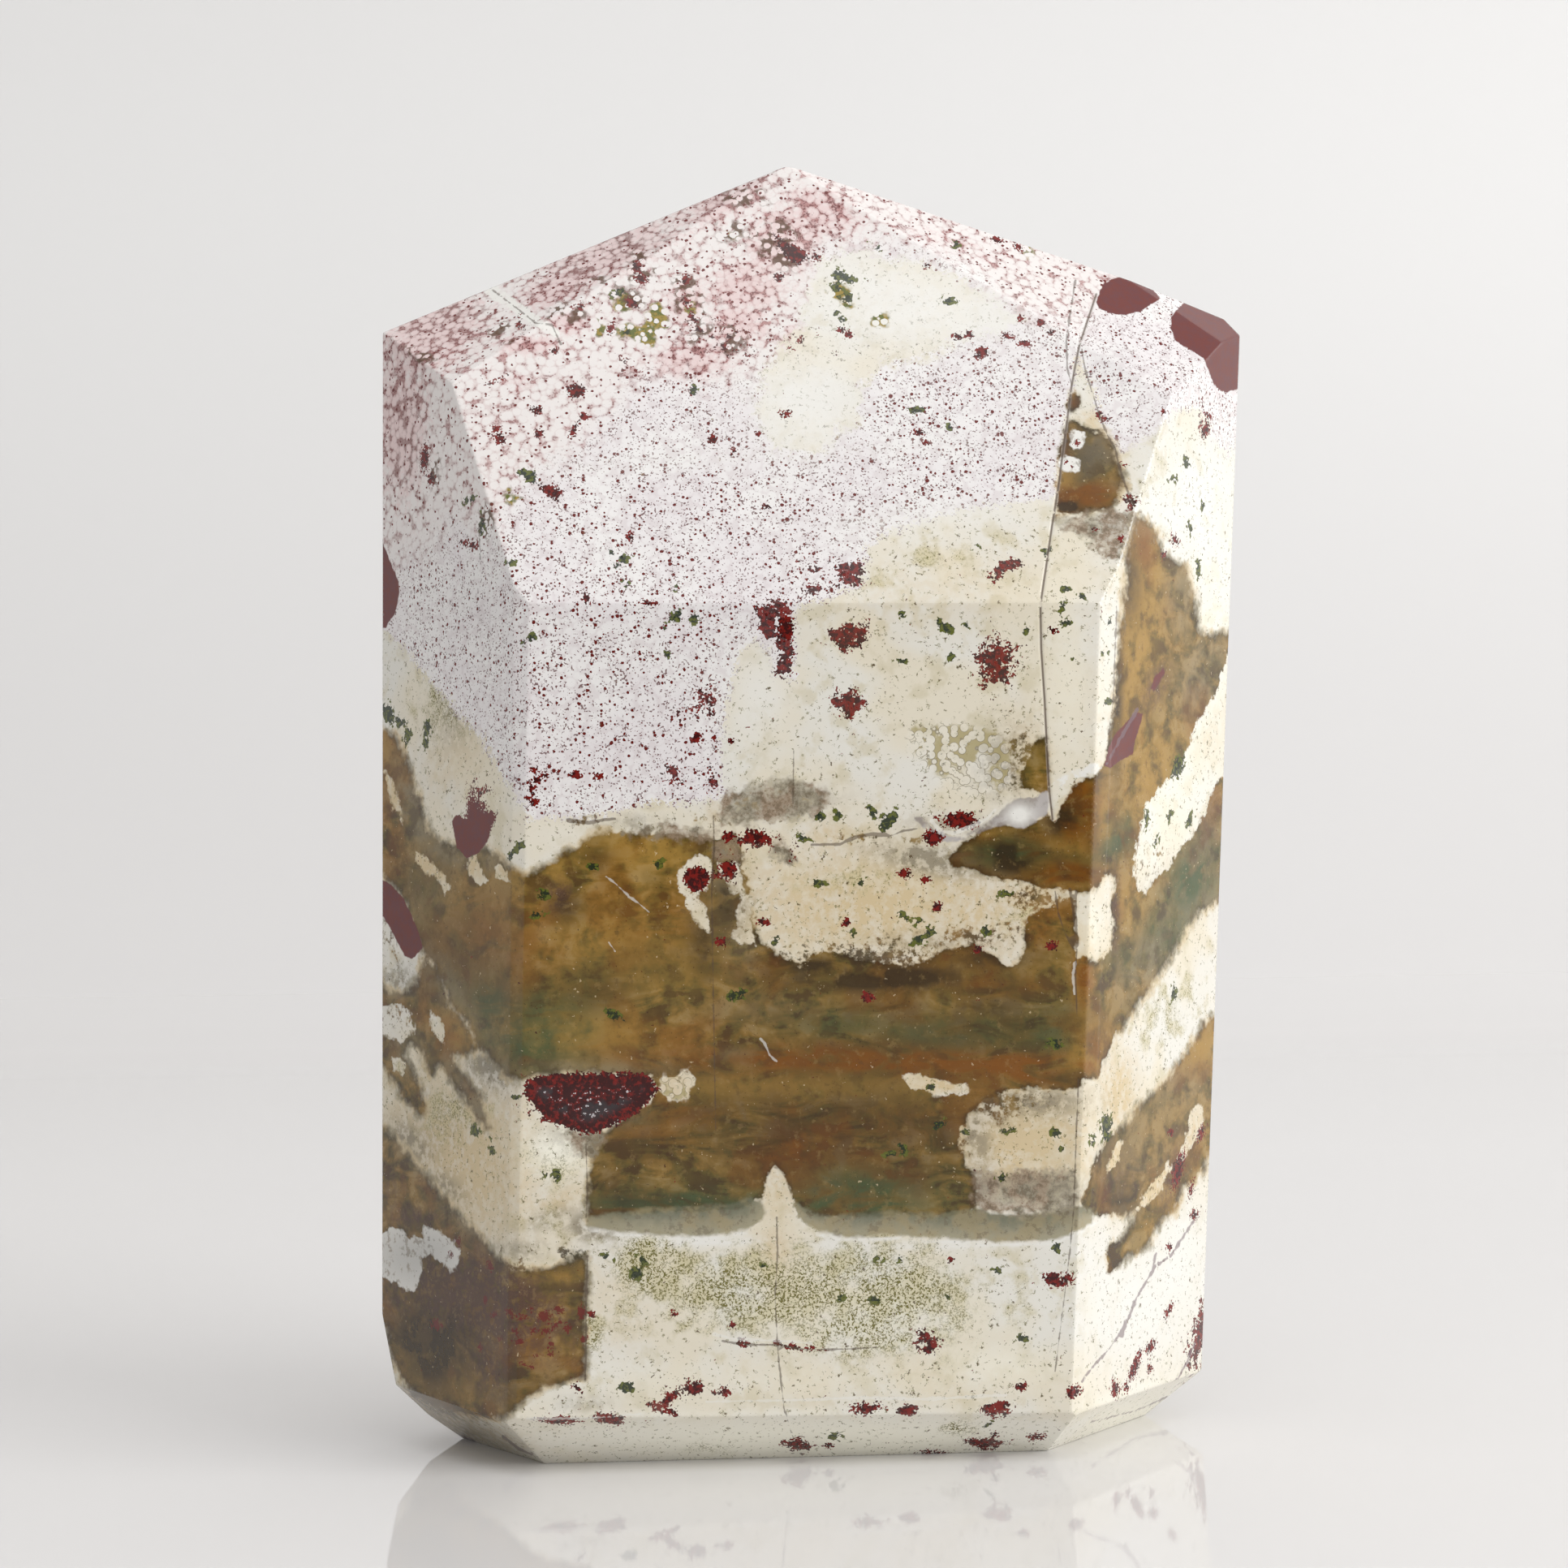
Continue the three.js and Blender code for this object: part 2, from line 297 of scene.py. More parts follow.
MAROON_ELLIPSES = [
    (858, 1083, 16, 16), (658, 948, 5, 4), (661, 961, 4, 4), (655, 972, 4, 4), (659, 988, 6, 5),
    (710, 955, 9, 5, -10), (738, 957, 5, 4, 20), (673, 956, 4, 3), (650, 984, 4, 4), (616, 540, 6, 8, -30),
    (661, 505, 7, 5), (664, 535, 5, 6, -30), (720, 513, 6, 4, 20), (707, 530, 4, 7, 20), (684, 432, 5, 4),
    (612, 528, 5, 4), (523, 565, 5, 16, 5), (531, 590, 5, 8), (582, 672, 6, 5), (570, 668, 4, 3),
    (776, 662, 5, 7, 15), (800, 743, 9, 4, 15), (723, 737, 4, 7), (969, 510, 8, 4), (879, 541, 5, 6),
    (903, 556, 3, 5), (934, 535, 4, 3), (1180, 415, 7, 4, -10), (1194, 412, 5, 5), (1240, 414, 6, 4, 20),
    (1262, 423, 8, 4, 10), (1210, 434, 8, 7), (1258, 392, 4, 5), (1282, 398, 4, 5), (1293, 410, 4, 3),
    (1036, 406, 4, 3), (1046, 412, 5, 4), (1132, 532, 8, 4), (1141, 545, 4, 3), (898, 1070, 10, 11, 20),
    (932, 1031, 18, 8, 5), (897, 1030, 8, 6), (888, 1160, 8, 4, 10), (1183, 1010, 22, 10, -5),
    (1150, 1032, 13, 9, 10), (1115, 1076, 8, 6, 20), (1140, 1084, 7, 5), (1155, 1117, 6, 6),
    (1042, 1137, 6, 6), (941, 1136, 7, 5, 10), (1206, 1170, 6, 5), (1069, 1229, 7, 7), (1297, 1166, 7, 6),
    (825, 1722, 9, 6, -25), (828, 1740, 9, 4, 20), (893, 1713, 6, 4, 30), (1068, 1735, 20, 5, 3),
    (1118, 1738, 9, 5), (1232, 1731, 13, 5, -5), (1222, 1743, 7, 4, 30), (1258, 1708, 7, 5, -20),
    (1323, 1715, 10, 7, -30), (1278, 1770, 11, 4, -5), (1203, 1778, 14, 5, 10), (1226, 1768, 5, 3, -20),
    (983, 1777, 13, 5, 5), (1148, 1790, 14, 3), (915, 1655, 8, 5, 30), (1021, 1780, 5, 3),
    (695, 1750, 14, 3), (752, 1749, 8, 4, 20), (712, 1712, 4, 10, -30), (1298, 1577, 12, 9),
    (1315, 1576, 6, 8), (1172, 1552, 4, 4), (958, 1655, 6, 3, 30), (975, 1659, 9, 3, 5),
    (1000, 1662, 12, 3), (1480, 1395, 4, 12, 25), (1452, 1440, 6, 22, 15), (1443, 1395, 3, 4),
    (1440, 1538, 4, 5), (1468, 1465, 3, 10, 10), (1472, 1497, 5, 6, 20), (1440, 1615, 3, 8, 25),
    (1418, 1660, 5, 9, 30), (1400, 1680, 4, 16, 20), (1396, 1690, 5, 9, 20), (1374, 1712, 5, 10),
    (1388, 1708, 3, 7), (1416, 1685, 3, 7), (1297, 776, 7, 4, 10), (1326, 546, 3, 3), (1314, 570, 2, 2),
    (1322, 576, 2, 2), (1397, 618, 5, 4, 30), (1391, 612, 4, 3), (1382, 663, 4, 4, 20),
    (1447, 665, 5, 7, -20), (1434, 683, 3, 5), (1348, 652, 3, 2), (785, 328, 6, 8), (790, 344, 8, 6, 20),
    (845, 345, 6, 7, 20), (845, 372, 4, 8, -30), (852, 390, 4, 9), (960, 342, 8, 5), (752, 405, 3, 7, 20),
    (778, 373, 9, 6, 30), (713, 378, 7, 4), (945, 625, 6, 3, 20), (1228, 295, 7, 4), (1255, 305, 3, 8, -40),
    (1141, 327, 4, 3), (670, 1380, 4, 3), (1485, 530, 5, 12, 15), (1490, 512, 4, 4), (1385, 572, 3, 3),
    (1353, 511, 4, 4), (1362, 516, 4, 3), (1434, 508, 4, 3), (880, 910, 3, 3), (858, 908, 4, 5),
    (900, 913, 4, 3), (728, 1620, 5, 4), (831, 1619, 4, 4), (903, 1633, 4, 3)]

RED_DOT_ELLIPSES = [
    (640, 1622, 9, 4), (628, 1616, 6, 4), (671, 1622, 9, 7), (689, 1614, 6, 5, 20), (717, 1617, 6, 10),
    (657, 1640, 5, 3), (673, 1640, 9, 4, -10), (641, 1653, 7, 3), (690, 1629, 4, 3), (700, 1637, 5, 5),
    (720, 1650, 4, 6), (636, 1640, 6, 3), (655, 1613, 3, 3), (678, 1668, 4, 3), (662, 1670, 3, 2),
    (645, 1681, 5, 3), (655, 1684, 4, 3), (538, 1632, 6, 8, -30), (592, 1660, 3, 5, -20), (565, 1530, 4, 7),
    (556, 1545, 3, 4), (608, 1620, 4, 4), (598, 1602, 3, 4), (615, 1650, 3, 3), (680, 1655, 4, 3),
    (604, 1560, 4, 7, -20)]

GREEN_ELLIPSES = [
    (645, 583, 6, 5), (655, 590, 9, 7, 25), (1034, 338, 9, 7), (1048, 343, 12, 5), (1030, 355, 8, 9),
    (1044, 369, 11, 6), (1170, 370, 9, 5), (1178, 302, 5, 4, 20), (1082, 306, 6, 3, 20), (1030, 385, 4, 5),
    (768, 688, 7, 6, 10), (761, 697, 5, 5), (752, 680, 5, 3, 20), (832, 762, 8, 4, 20), (834, 756, 4, 6),
    (855, 763, 5, 7, 15), (823, 806, 5, 5), (818, 774, 4, 4), (652, 787, 8, 5, -30), (630, 693, 6, 3),
    (770, 718, 5, 4), (834, 724, 4, 3), (1158, 766, 5, 6, -20), (1166, 773, 9, 5, 10), (1190, 771, 4, 5),
    (1112, 758, 4, 6, -20), (1172, 810, 4, 6), (1204, 672, 5, 4), (1113, 815, 9, 5), (1264, 777, 4, 5, -30),
    (1311, 768, 7, 5, -20), (1332, 735, 5, 4, 20), (1309, 748, 3, 7, 20), (1312, 725, 5, 4, 30),
    (1290, 680, 5, 8, 20), (1366, 768, 3, 6), (1362, 803, 4, 3), (1366, 864, 5, 4), (1322, 813, 4, 3, 20),
    (1095, 1010, 12, 9), (1089, 1018, 6, 6), (1105, 1004, 4, 8, 10), (1075, 1001, 4, 7, -20),
    (1012, 1005, 6, 6, 30), (1033, 1004, 4, 6, -20), (1010, 1088, 9, 4, 5), (1133, 1158, 13, 6, -20),
    (1146, 1150, 5, 9, 10), (1112, 1128, 7, 4, 30), (1131, 1136, 5, 4), (1052, 1148, 6, 5, 20),
    (1215, 1147, 5, 5), (1237, 1101, 11, 4), (990, 1032, 8, 4), (1060, 1088, 5, 4, -30),
    (773, 1709, 11, 7, -10), (782, 1570, 9, 8, 20), (790, 1553, 5, 9, -50), (748, 1548, 6, 3),
    (1080, 1552, 12, 4), (1111, 1552, 7, 4), (1230, 1566, 9, 4, 10), (1301, 1537, 5, 7, -30),
    (1262, 1649, 9, 5, 5), (1168, 1598, 5, 5), (1077, 1602, 6, 6), (1026, 1770, 9, 4),
    (1037, 1600, 4, 6, 30), (670, 1103, 9, 6, 10), (662, 1128, 11, 4, -10), (730, 1068, 8, 5, -20),
    (812, 1063, 8, 5, -30), (908, 1226, 12, 8, -10), (757, 1250, 12, 6, 30), (1300, 1285, 10, 6),
    (686, 1448, 5, 7), (672, 1448, 5, 4), (585, 1391, 6, 8, -20), (605, 1415, 3, 9, -15),
    (636, 1352, 5, 5, 20), (640, 1042, 5, 7, 10), (630, 1054, 4, 6, 20), (594, 648, 3, 10),
    (577, 617, 7, 4, -30), (503, 905, 5, 11, 5), (527, 897, 4, 15, -5), (524, 916, 5, 8, 10),
    (480, 883, 8, 12, -20), (476, 872, 5, 8), (494, 890, 7, 6), (1465, 650, 3, 6), (1482, 625, 3, 6),
    (1462, 570, 4, 8), (1445, 590, 5, 5), (1476, 700, 3, 10), (1443, 1005, 3, 8, 20), (1413, 1010, 3, 8),
    (1466, 1012, 4, 9, 25), (1452, 945, 6, 16, 20), (1425, 1035, 3, 5, 20), (1445, 1225, 4, 9, 10),
    (1345, 1405, 4, 5), (1363, 1388, 7, 16, 5), (1188, 1395, 6, 5), (1240, 1395, 8, 4, -20),
    (1300, 1395, 7, 5, 10), (1235, 1450, 6, 5), (1305, 1415, 4, 4), (772, 410, 5, 5), (762, 362, 9, 6),
    (855, 480, 6, 6), (1130, 505, 8, 4), (1170, 527, 6, 5), (1145, 1340, 5, 4), (955, 1160, 4, 6, 30),
    (1158, 1385, 8, 5, -20), (1112, 1415, 9, 5, 30), (1101, 1422, 9, 4), (940, 1560, 4, 3),
    (1220, 1755, 5, 3), (1040, 395, 4, 4)]

OLIVE_ELLIPSES = [
    (810, 392, 13, 18), (770, 372, 14, 12), (776, 408, 16, 9), (740, 402, 6, 10), (800, 412, 12, 14),
    (1035, 358, 14, 12), (1046, 372, 10, 6), (630, 615, 9, 7, 20), (628, 606, 5, 5), (1085, 395, 12, 8),
    (1265, 310, 5, 8), (905, 290, 10, 6), (850, 380, 8, 10)]

GAP_ELLIPSES = [
    (790, 330, 18, 22), (778, 366, 18, 14, 20), (850, 372, 18, 34, -20), (845, 345, 12, 12),
    (960, 300, 40, 26, 35), (900, 285, 20, 12), (700, 385, 24, 14), (620, 410, 20, 14), (740, 352, 20, 10),
    (820, 310, 24, 10), (530, 580, 12, 26), (600, 640, 10, 20), (885, 420, 36, 18), (520, 440, 22, 10, 30),
    (920, 245, 26, 12)]

WHITE_ELLIPSES = [(1327, 542, 9, 12), (1318, 572, 13, 10)]

# Tints, which are soft ellipses: across, down, half width and half height, then a strength if it isn't 1,
# and a tilt in degrees if there is one.

GRAIN_ELLIPSES = [
    (950, 752, 26, 16), (968, 790, 12, 40), (950, 775, 16, 12), (966, 822, 14, 18),
    (1045, 704, 24, 13, 1.0, -10), (1048, 715, 22, 8), (1047, 784, 26, 20, 1.0, -8),
    (1045, 866, 22, 20, 1.0, 5), (1228, 815, 28, 36), (1230, 706, 12, 13, 1.0, 20), (1245, 695, 18, 8),
    (870, 868, 20, 26, 0.7, 15), (838, 882, 14, 16, 0.6), (856, 910, 10, 10, 0.6),
    (826, 955, 22, 16, 0.65, 20), (876, 962, 14, 18, 0.65), (860, 965, 14, 8, 0.6), (1000, 725, 14, 8),
    (930, 1034, 26, 14), (895, 1075, 18, 16), (1185, 1010, 28, 12), (845, 1712, 28, 16, 0.7, -10),
    (815, 1730, 26, 14, 0.7, -15), (890, 1714, 16, 10, 0.6), (1302, 1577, 22, 13, 0.75),
    (1228, 1736, 22, 11), (750, 1748, 26, 10, 1.0, 10), (690, 1750, 28, 6), (1140, 1655, 20, 16, 0.7, 30),
    (1066, 1736, 26, 8), (1120, 1738, 16, 8), (905, 425, 50, 34, 0.42), (860, 400, 26, 26, 0.4),
    (980, 425, 26, 20, 0.45), (770, 452, 30, 20, 0.4, 20), (640, 405, 26, 26, 0.35, 30),
    (1200, 430, 30, 16, 0.5), (610, 470, 16, 8, 0.6), (592, 985, 20, 30, 0.6),
    (1485, 510, 16, 26, 0.45, 20), (1392, 620, 12, 16, 0.7), (650, 1368, 14, 24, 0.4, -20),
    (980, 1045, 10, 20, 0.5), (1000, 700, 40, 20, 0.4, -20), (985, 1780, 22, 8), (1215, 1778, 28, 9),
    (1490, 1620, 16, 80, 1.0, 20)]

GREEN_SPECKLE = [
    (960, 1590, 230, 66), (1090, 1590, 120, 80), (800, 1560, 80, 60, 1.0, 10), (1060, 1640, 120, 40),
    (1180, 1620, 120, 60, 0.6, -10), (680, 1440, 50, 50, 0.5), (680, 1500, 40, 40, 0.5, -30),
    (560, 1370, 50, 60, 0.7, 40), (500, 1330, 40, 40, 0.6, 40), (1150, 690, 120, 40, 0.4, -10),
    (1420, 620, 60, 90, 0.3), (1440, 1250, 40, 80, 0.6, 40), (1260, 1130, 60, 30, 0.5),
    (1040, 1080, 90, 24, 0.45), (880, 1780, 40, 12, 0.7), (1180, 1758, 30, 10), (560, 860, 50, 60, 1.0, 30),
    (720, 1640, 30, 60), (1000, 2060, 500, 60)]

WARM_TINT = [
    (1335, 1160, 16, 60, 1.2), (1275, 1110, 46, 36, 1.2), (1270, 1362, 60, 20, 1.3),
    (560, 1430, 120, 120, 1.1, 30), (1186, 1405, 16, 46, 1.3), (600, 1772, 60, 16, 1.0, 15),
    (1220, 1345, 40, 12, 1.2, -10), (1421, 1460, 24, 40, 1.3, 35), (1466, 1398, 16, 44, 0.9, 25),
    (1372, 1428, 14, 30, 1.3, 25), (530, 1068, 30, 30, 1.3, 35), (585, 1068, 14, 22, 1.1),
    (620, 1075, 12, 12), (485, 980, 20, 50, 1.3, -20), (1345, 520, 20, 20, 0.8), (880, 1000, 10, 20, 0.7),
    (1155, 1336, 44, 12, 1.3), (1262, 1405, 60, 30, 1.4), (834, 1338, 20, 18, 1.3),
    (540, 1748, 50, 18, 1.2, 25), (1100, 1120, 260, 90), (1250, 1400, 110, 70, 1.2),
    (700, 1450, 60, 90, 0.5), (1320, 1130, 40, 60, 0.6), (1378, 1350, 24, 60, 1.1),
    (760, 1600, 60, 90, 0.3), (1100, 1700, 300, 40, 0.35), (600, 1380, 70, 110, 0.5, 30),
    (1330, 800, 46, 170, 0.25), (1150, 720, 160, 60, 0.35, -10), (1375, 392, 30, 12, 1.0, -10),
    (1330, 420, 12, 30, 0.7), (690, 1480, 50, 20, 0.8, -20), (560, 930, 40, 60, 0.5, 30),
    (955, 1540, 24, 30, 0.8), (1020, 1030, 40, 20, 0.8), (1360, 560, 30, 60, 0.6), (1155, 1336, 50, 14),
    (957, 1460, 26, 50, 0.7), (832, 1338, 24, 20, 1.2), (1265, 930, 30, 50, 0.8),
    (1490, 900, 20, 60, 0.5, 20), (800, 2060, 300, 60, 0.6)]

GOLD_TINT = [
    (1390, 1110, 24, 40, 0.6), (515, 1690, 36, 50, 0.7, -30), (590, 1120, 70, 60, 0.5, 20),
    (1440, 1380, 60, 50, 0.4, 40), (1215, 1024, 24, 8, 1.3, -10), (1318, 1038, 30, 12), (1400, 700, 20, 60),
    (1400, 760, 40, 130), (1420, 700, 20, 50, 0.8), (1390, 880, 30, 80, 0.9), (1420, 950, 50, 60, 0.8, 30),
    (1345, 1000, 24, 40), (1320, 1080, 40, 20, 0.9), (700, 1060, 60, 24, 0.7, -20),
    (800, 1050, 110, 30, 0.6), (780, 1160, 110, 70, 0.55), (740, 1270, 90, 40, 0.5),
    (1345, 1290, 26, 50, 0.9, 20), (1335, 1210, 12, 50), (700, 1570, 30, 14, 0.9),
    (510, 1660, 50, 50, 0.3, 40), (560, 1700, 60, 26, 0.6, 20), (1440, 1500, 24, 40, 0.8, 30),
    (1180, 1210, 40, 40, 0.5), (840, 1200, 60, 40, 0.5), (565, 1270, 20, 40, 0.7, -30),
    (1310, 590, 16, 16, 0.9), (650, 1100, 40, 50, 0.5), (1000, 1340, 180, 16, 0.9),
    (770, 1345, 300, 14, 0.3), (1480, 1290, 40, 30, 0.8, -45), (480, 920, 24, 40, 0.5),
    (1020, 1210, 60, 24, 0.3), (1270, 1210, 60, 26, 0.4), (900, 2200, 400, 40, 0.6)]

ORANGE_TINT = [
    (1170, 1311, 180, 15, 1.5, 1), (1318, 612, 26, 10, 1.4, -10), (600, 1150, 50, 50, 0.5, 20),
    (1335, 610, 40, 16, 1.3), (1325, 990, 26, 46, 1.3, 10), (1320, 1080, 40, 18, 1.3),
    (640, 1180, 30, 70, 0.5), (980, 1415, 14, 40), (840, 1375, 60, 20, 0.6), (1000, 1303, 200, 20),
    (1250, 1318, 110, 20, 1.0, 4), (860, 1290, 60, 24, 0.6), (1340, 620, 50, 20, 0.8),
    (1315, 635, 20, 14, 0.8), (1340, 1000, 16, 50, 0.9), (1335, 1200, 12, 40), (830, 1130, 40, 40, 0.4),
    (960, 1420, 16, 50, 0.9), (1110, 1385, 90, 24, 0.5), (800, 1400, 60, 24, 0.5),
    (1310, 1078, 40, 14, 0.8), (1280, 1140, 20, 30, 0.6), (1345, 1300, 16, 30, 0.8),
    (650, 1180, 60, 60, 0.3), (1240, 1215, 60, 12, 0.6), (550, 1280, 24, 40, 0.5, -30),
    (1410, 670, 14, 30, 0.7)]

TEAL_TINT = [
    (665, 1265, 70, 50, 1.3), (1240, 1050, 50, 22, 0.9, 5), (1375, 1035, 26, 26, 0.9, -30),
    (830, 1482, 110, 14, 1.3), (1060, 1484, 90, 14, 1.1), (705, 1535, 16, 16, 1.3), (640, 1260, 50, 50),
    (690, 1290, 50, 30, 0.9), (590, 1210, 60, 60, 0.5, 30), (650, 1225, 30, 24, 0.6),
    (1150, 1280, 110, 28, 0.8), (1040, 1265, 80, 22, 0.6), (1300, 1270, 60, 40, 0.7),
    (1060, 1465, 90, 26, 0.9), (900, 1480, 60, 22, 0.8), (1470, 1080, 30, 50, 1.0, 30),
    (610, 1235, 40, 40, 0.9, 30), (1440, 1150, 40, 40, 0.6, 40), (520, 1115, 30, 50, 0.4),
    (1360, 1390, 12, 30), (1230, 1040, 50, 20, 0.5), (930, 1485, 20, 16, 0.7), (970, 1485, 20, 18, 0.8),
    (1390, 1020, 18, 20, 0.7), (1380, 1180, 24, 24, 0.4), (1180, 1000, 10, 10, 0.1),
    (720, 1210, 50, 30, 0.3), (1450, 960, 14, 30, 0.7), (900, 1920, 500, 30, 0.6), (745, 1355, 50, 30, 0.5)]

GREY_TINT = [
    (912, 1160, 20, 36, 0.9), (512, 1000, 20, 52, 1.2, -25), (560, 1052, 42, 18, 1.2, 15),
    (606, 1056, 20, 18, 1.2, 30), (490, 945, 12, 40, 0.7, -10), (1350, 560, 26, 34, 0.9),
    (530, 1100, 40, 60, 0.5, 30), (590, 1150, 60, 90, 0.15, 20), (700, 1318, 120, 16),
    (520, 1425, 20, 70, 1.0, -38), (580, 1500, 20, 60, 1.0, -42), (1410, 650, 24, 16, 0.9, 30),
    (1475, 1120, 40, 60, 0.8, 35), (1425, 1170, 30, 60, 0.8, 38), (1430, 1360, 60, 90, 0.6, 40),
    (900, 1300, 40, 10, 0.4), (1450, 730, 22, 60, 0.7), (1480, 830, 30, 60, 0.6, 20),
    (1395, 1400, 60, 60, 0.4, 40), (560, 1230, 24, 90, 0.8, -30), (500, 1290, 24, 40, 0.9, -30),
    (580, 1350, 20, 60, 1.0, -30), (760, 1380, 40, 20, 0.6), (890, 1110, 26, 60, 0.9),
    (1200, 1060, 40, 12, 0.7, 20), (940, 1240, 80, 20, 0.3), (490, 1220, 30, 14, 0.8),
    (720, 1550, 16, 16, 0.5), (1480, 1050, 30, 50, 0.5, 20), (1400, 2220, 300, 40, 0.7)]

PLUM_TINT = [
    (585, 1600, 120, 60, 1.3, 20), (660, 1625, 60, 40, 0.9), (600, 1680, 24, 50, 0.9, -20),
    (510, 1500, 40, 16, 0.8), (480, 1470, 20, 50, 0.5), (700, 1640, 30, 60, 0.5), (500, 1600, 40, 24, 0.7),
    (690, 1105, 20, 22, 0.9, 30), (515, 985, 8, 16, 0.7, -20), (1445, 1450, 16, 40, 0.8, 15),
    (1365, 1350, 7, 50, 0.9), (1374, 1130, 6, 60, 0.8), (1425, 845, 12, 30, 0.9, 25),
    (720, 1705, 26, 10, 0.8), (1380, 1460, 30, 40, 0.4), (1350, 668, 30, 16, 0.8, 10),
    (1480, 1000, 20, 40, 0.4, 10), (600, 1900, 200, 40, 0.7)]

DARK_TINT = [
    (1020, 1385, 200, 80, 0.65), (1160, 1410, 28, 50, 0.7), (1210, 1235, 90, 60, 0.65),
    (730, 1058, 22, 16, 0.8), (1318, 624, 20, 9, 1.3), (892, 1122, 14, 34, 1.2),
    (1250, 1060, 70, 20, 1.1, 5), (1325, 1000, 20, 34, 0.6), (1270, 910, 20, 8, 0.8),
    (1376, 580, 8, 40, 0.7, -15), (740, 1220, 50, 30, 0.5), (530, 1660, 60, 60, 1.1, 30),
    (1325, 1075, 30, 14, 0.8), (830, 1480, 100, 12, 0.5), (1080, 1205, 160, 24), (1220, 1180, 60, 20, 0.8),
    (1240, 1050, 60, 24, 0.9, 5), (1310, 1010, 30, 30, 0.9), (1330, 615, 40, 20, 0.4),
    (1000, 1190, 60, 12, 0.9), (870, 1160, 24, 60, 0.7), (800, 1410, 60, 30, 0.5),
    (1130, 1440, 60, 40, 0.5), (1090, 1290, 120, 14, 0.4), (1345, 1010, 10, 40, 0.5),
    (560, 1160, 40, 60, 0.3, 30), (520, 1080, 40, 30, 0.4), (1100, 1245, 260, 30, 0.4),
    (700, 1120, 24, 20, 0.6), (1390, 715, 16, 50, 0.8), (1376, 850, 8, 110, 0.9), (1150, 1370, 60, 30, 0.5),
    (900, 1370, 120, 24, 0.5), (760, 1470, 40, 40, 0.6), (700, 1550, 30, 16), (520, 1740, 60, 20, 0.3, 20),
    (490, 1640, 30, 60, 0.5, 20), (640, 1715, 60, 20, 0.5, -10), (1340, 560, 40, 50, 0.5),
    (1380, 1480, 24, 24, 0.6), (850, 1320, 60, 12, 0.5), (1190, 1030, 16, 14, 0.8),
    (800, 1185, 60, 30, 0.3), (1310, 1330, 40, 10, 0.5), (1260, 1060, 60, 20, 0.6),
    (560, 1600, 60, 60, 0.3), (1160, 1025, 30, 12, 0.6)]

# Painted shade: darkens the colour where the faces get less light, mostly on the left face, its bevel and the
# top facets. In a few places it darkens spots of darker stone.
PAINTED_SHADE_AND_DARKER_STONE = [
    (1208, 1462, 22, 24, 0.7), (606, 1314, 34, 16, 0.5, 30), (1262, 1456, 80, 12, 0.45),
    (1345, 650, 40, 12, 0.3), (590, 740, 60, 60, 0.22), (1370, 450, 50, 40, 0.3), (520, 1545, 70, 50, 0.75),
    (520, 1745, 60, 40, 1.0, 25), (590, 1775, 70, 30, 1.0, 20), (530, 1370, 80, 80, 0.35, 30),
    (500, 1480, 50, 60, 0.3, 40), (900, 1020, 40, 30, 0.15), (500, 700, 60, 100, 0.12),
    (500, 1640, 60, 90, 0.35), (1490, 1680, 20, 80, 0.1, 10)]

# Milky white patches of the stone, with painted sheen on the right face and painted light on the foot's
# bevel.
MILKY_AND_SHEEN = [
    (1256, 1004, 16, 13, 1.2), (1476, 620, 60, 90), (1400, 1620, 90, 120), (1450, 1560, 60, 120),
    (930, 860, 40, 60, 0.7), (680, 1380, 40, 30, 0.6), (1130, 380, 130, 50, 0.8, 10),
    (860, 1530, 120, 7, 1.2), (1150, 1535, 180, 6), (990, 500, 60, 60, 0.8), (1350, 560, 30, 40, 0.5),
    (1000, 1770, 420, 26, 0.8), (950, 560, 330, 12, 0.3, -3), (935, 850, 40, 50, 0.9),
    (1450, 640, 60, 60, 0.9), (1480, 860, 40, 80, 0.9, 20), (700, 1030, 60, 20, 0.4),
    (1355, 800, 20, 160, 0.5), (1340, 1130, 14, 60, 0.5), (1150, 640, 120, 20, 0.7, -6),
    (760, 1650, 60, 60, 0.3)]

MOTTLED = [
    (1268, 1106, 40, 22, 0.85), (1240, 940, 20, 46), (1215, 955, 30, 16, 0.6), (900, 1110, 30, 60, 0.55),
    (876, 1130, 18, 44, 0.65), (852, 1110, 24, 50, 0.6), (1421, 1460, 20, 30, 0.5, 35),
    (1060, 1182, 150, 26, 0.95), (1262, 930, 28, 36, 0.9), (1190, 1152, 60, 20, 0.8),
    (1225, 1362, 40, 26, 0.9, 20), (1228, 1358, 36, 20, 1.2, 20), (950, 990, 60, 20, 0.7),
    (1140, 1036, 60, 8, 0.8, -8), (1060, 1032, 50, 8, 0.8), (720, 1010, 50, 6, 0.8),
    (860, 1012, 50, 8, 0.7), (1240, 1150, 40, 20, 0.6), (1290, 1110, 30, 14, 0.9), (700, 1545, 30, 10),
    (640, 1562, 30, 8, 0.8), (1240, 1355, 60, 12, 0.7), (1185, 1400, 14, 40, 0.7),
    (1260, 1452, 70, 10, 0.6), (500, 1250, 40, 60, 0.5, 30), (1420, 1060, 20, 40, 0.6, 30),
    (1490, 1110, 30, 20, 0.7, -30), (1410, 760, 20, 100, 0.3), (480, 1160, 20, 40, 0.5),
    (1380, 650, 30, 12, 0.6), (840, 1340, 40, 14, 0.5), (1150, 1338, 60, 10, 0.4)]

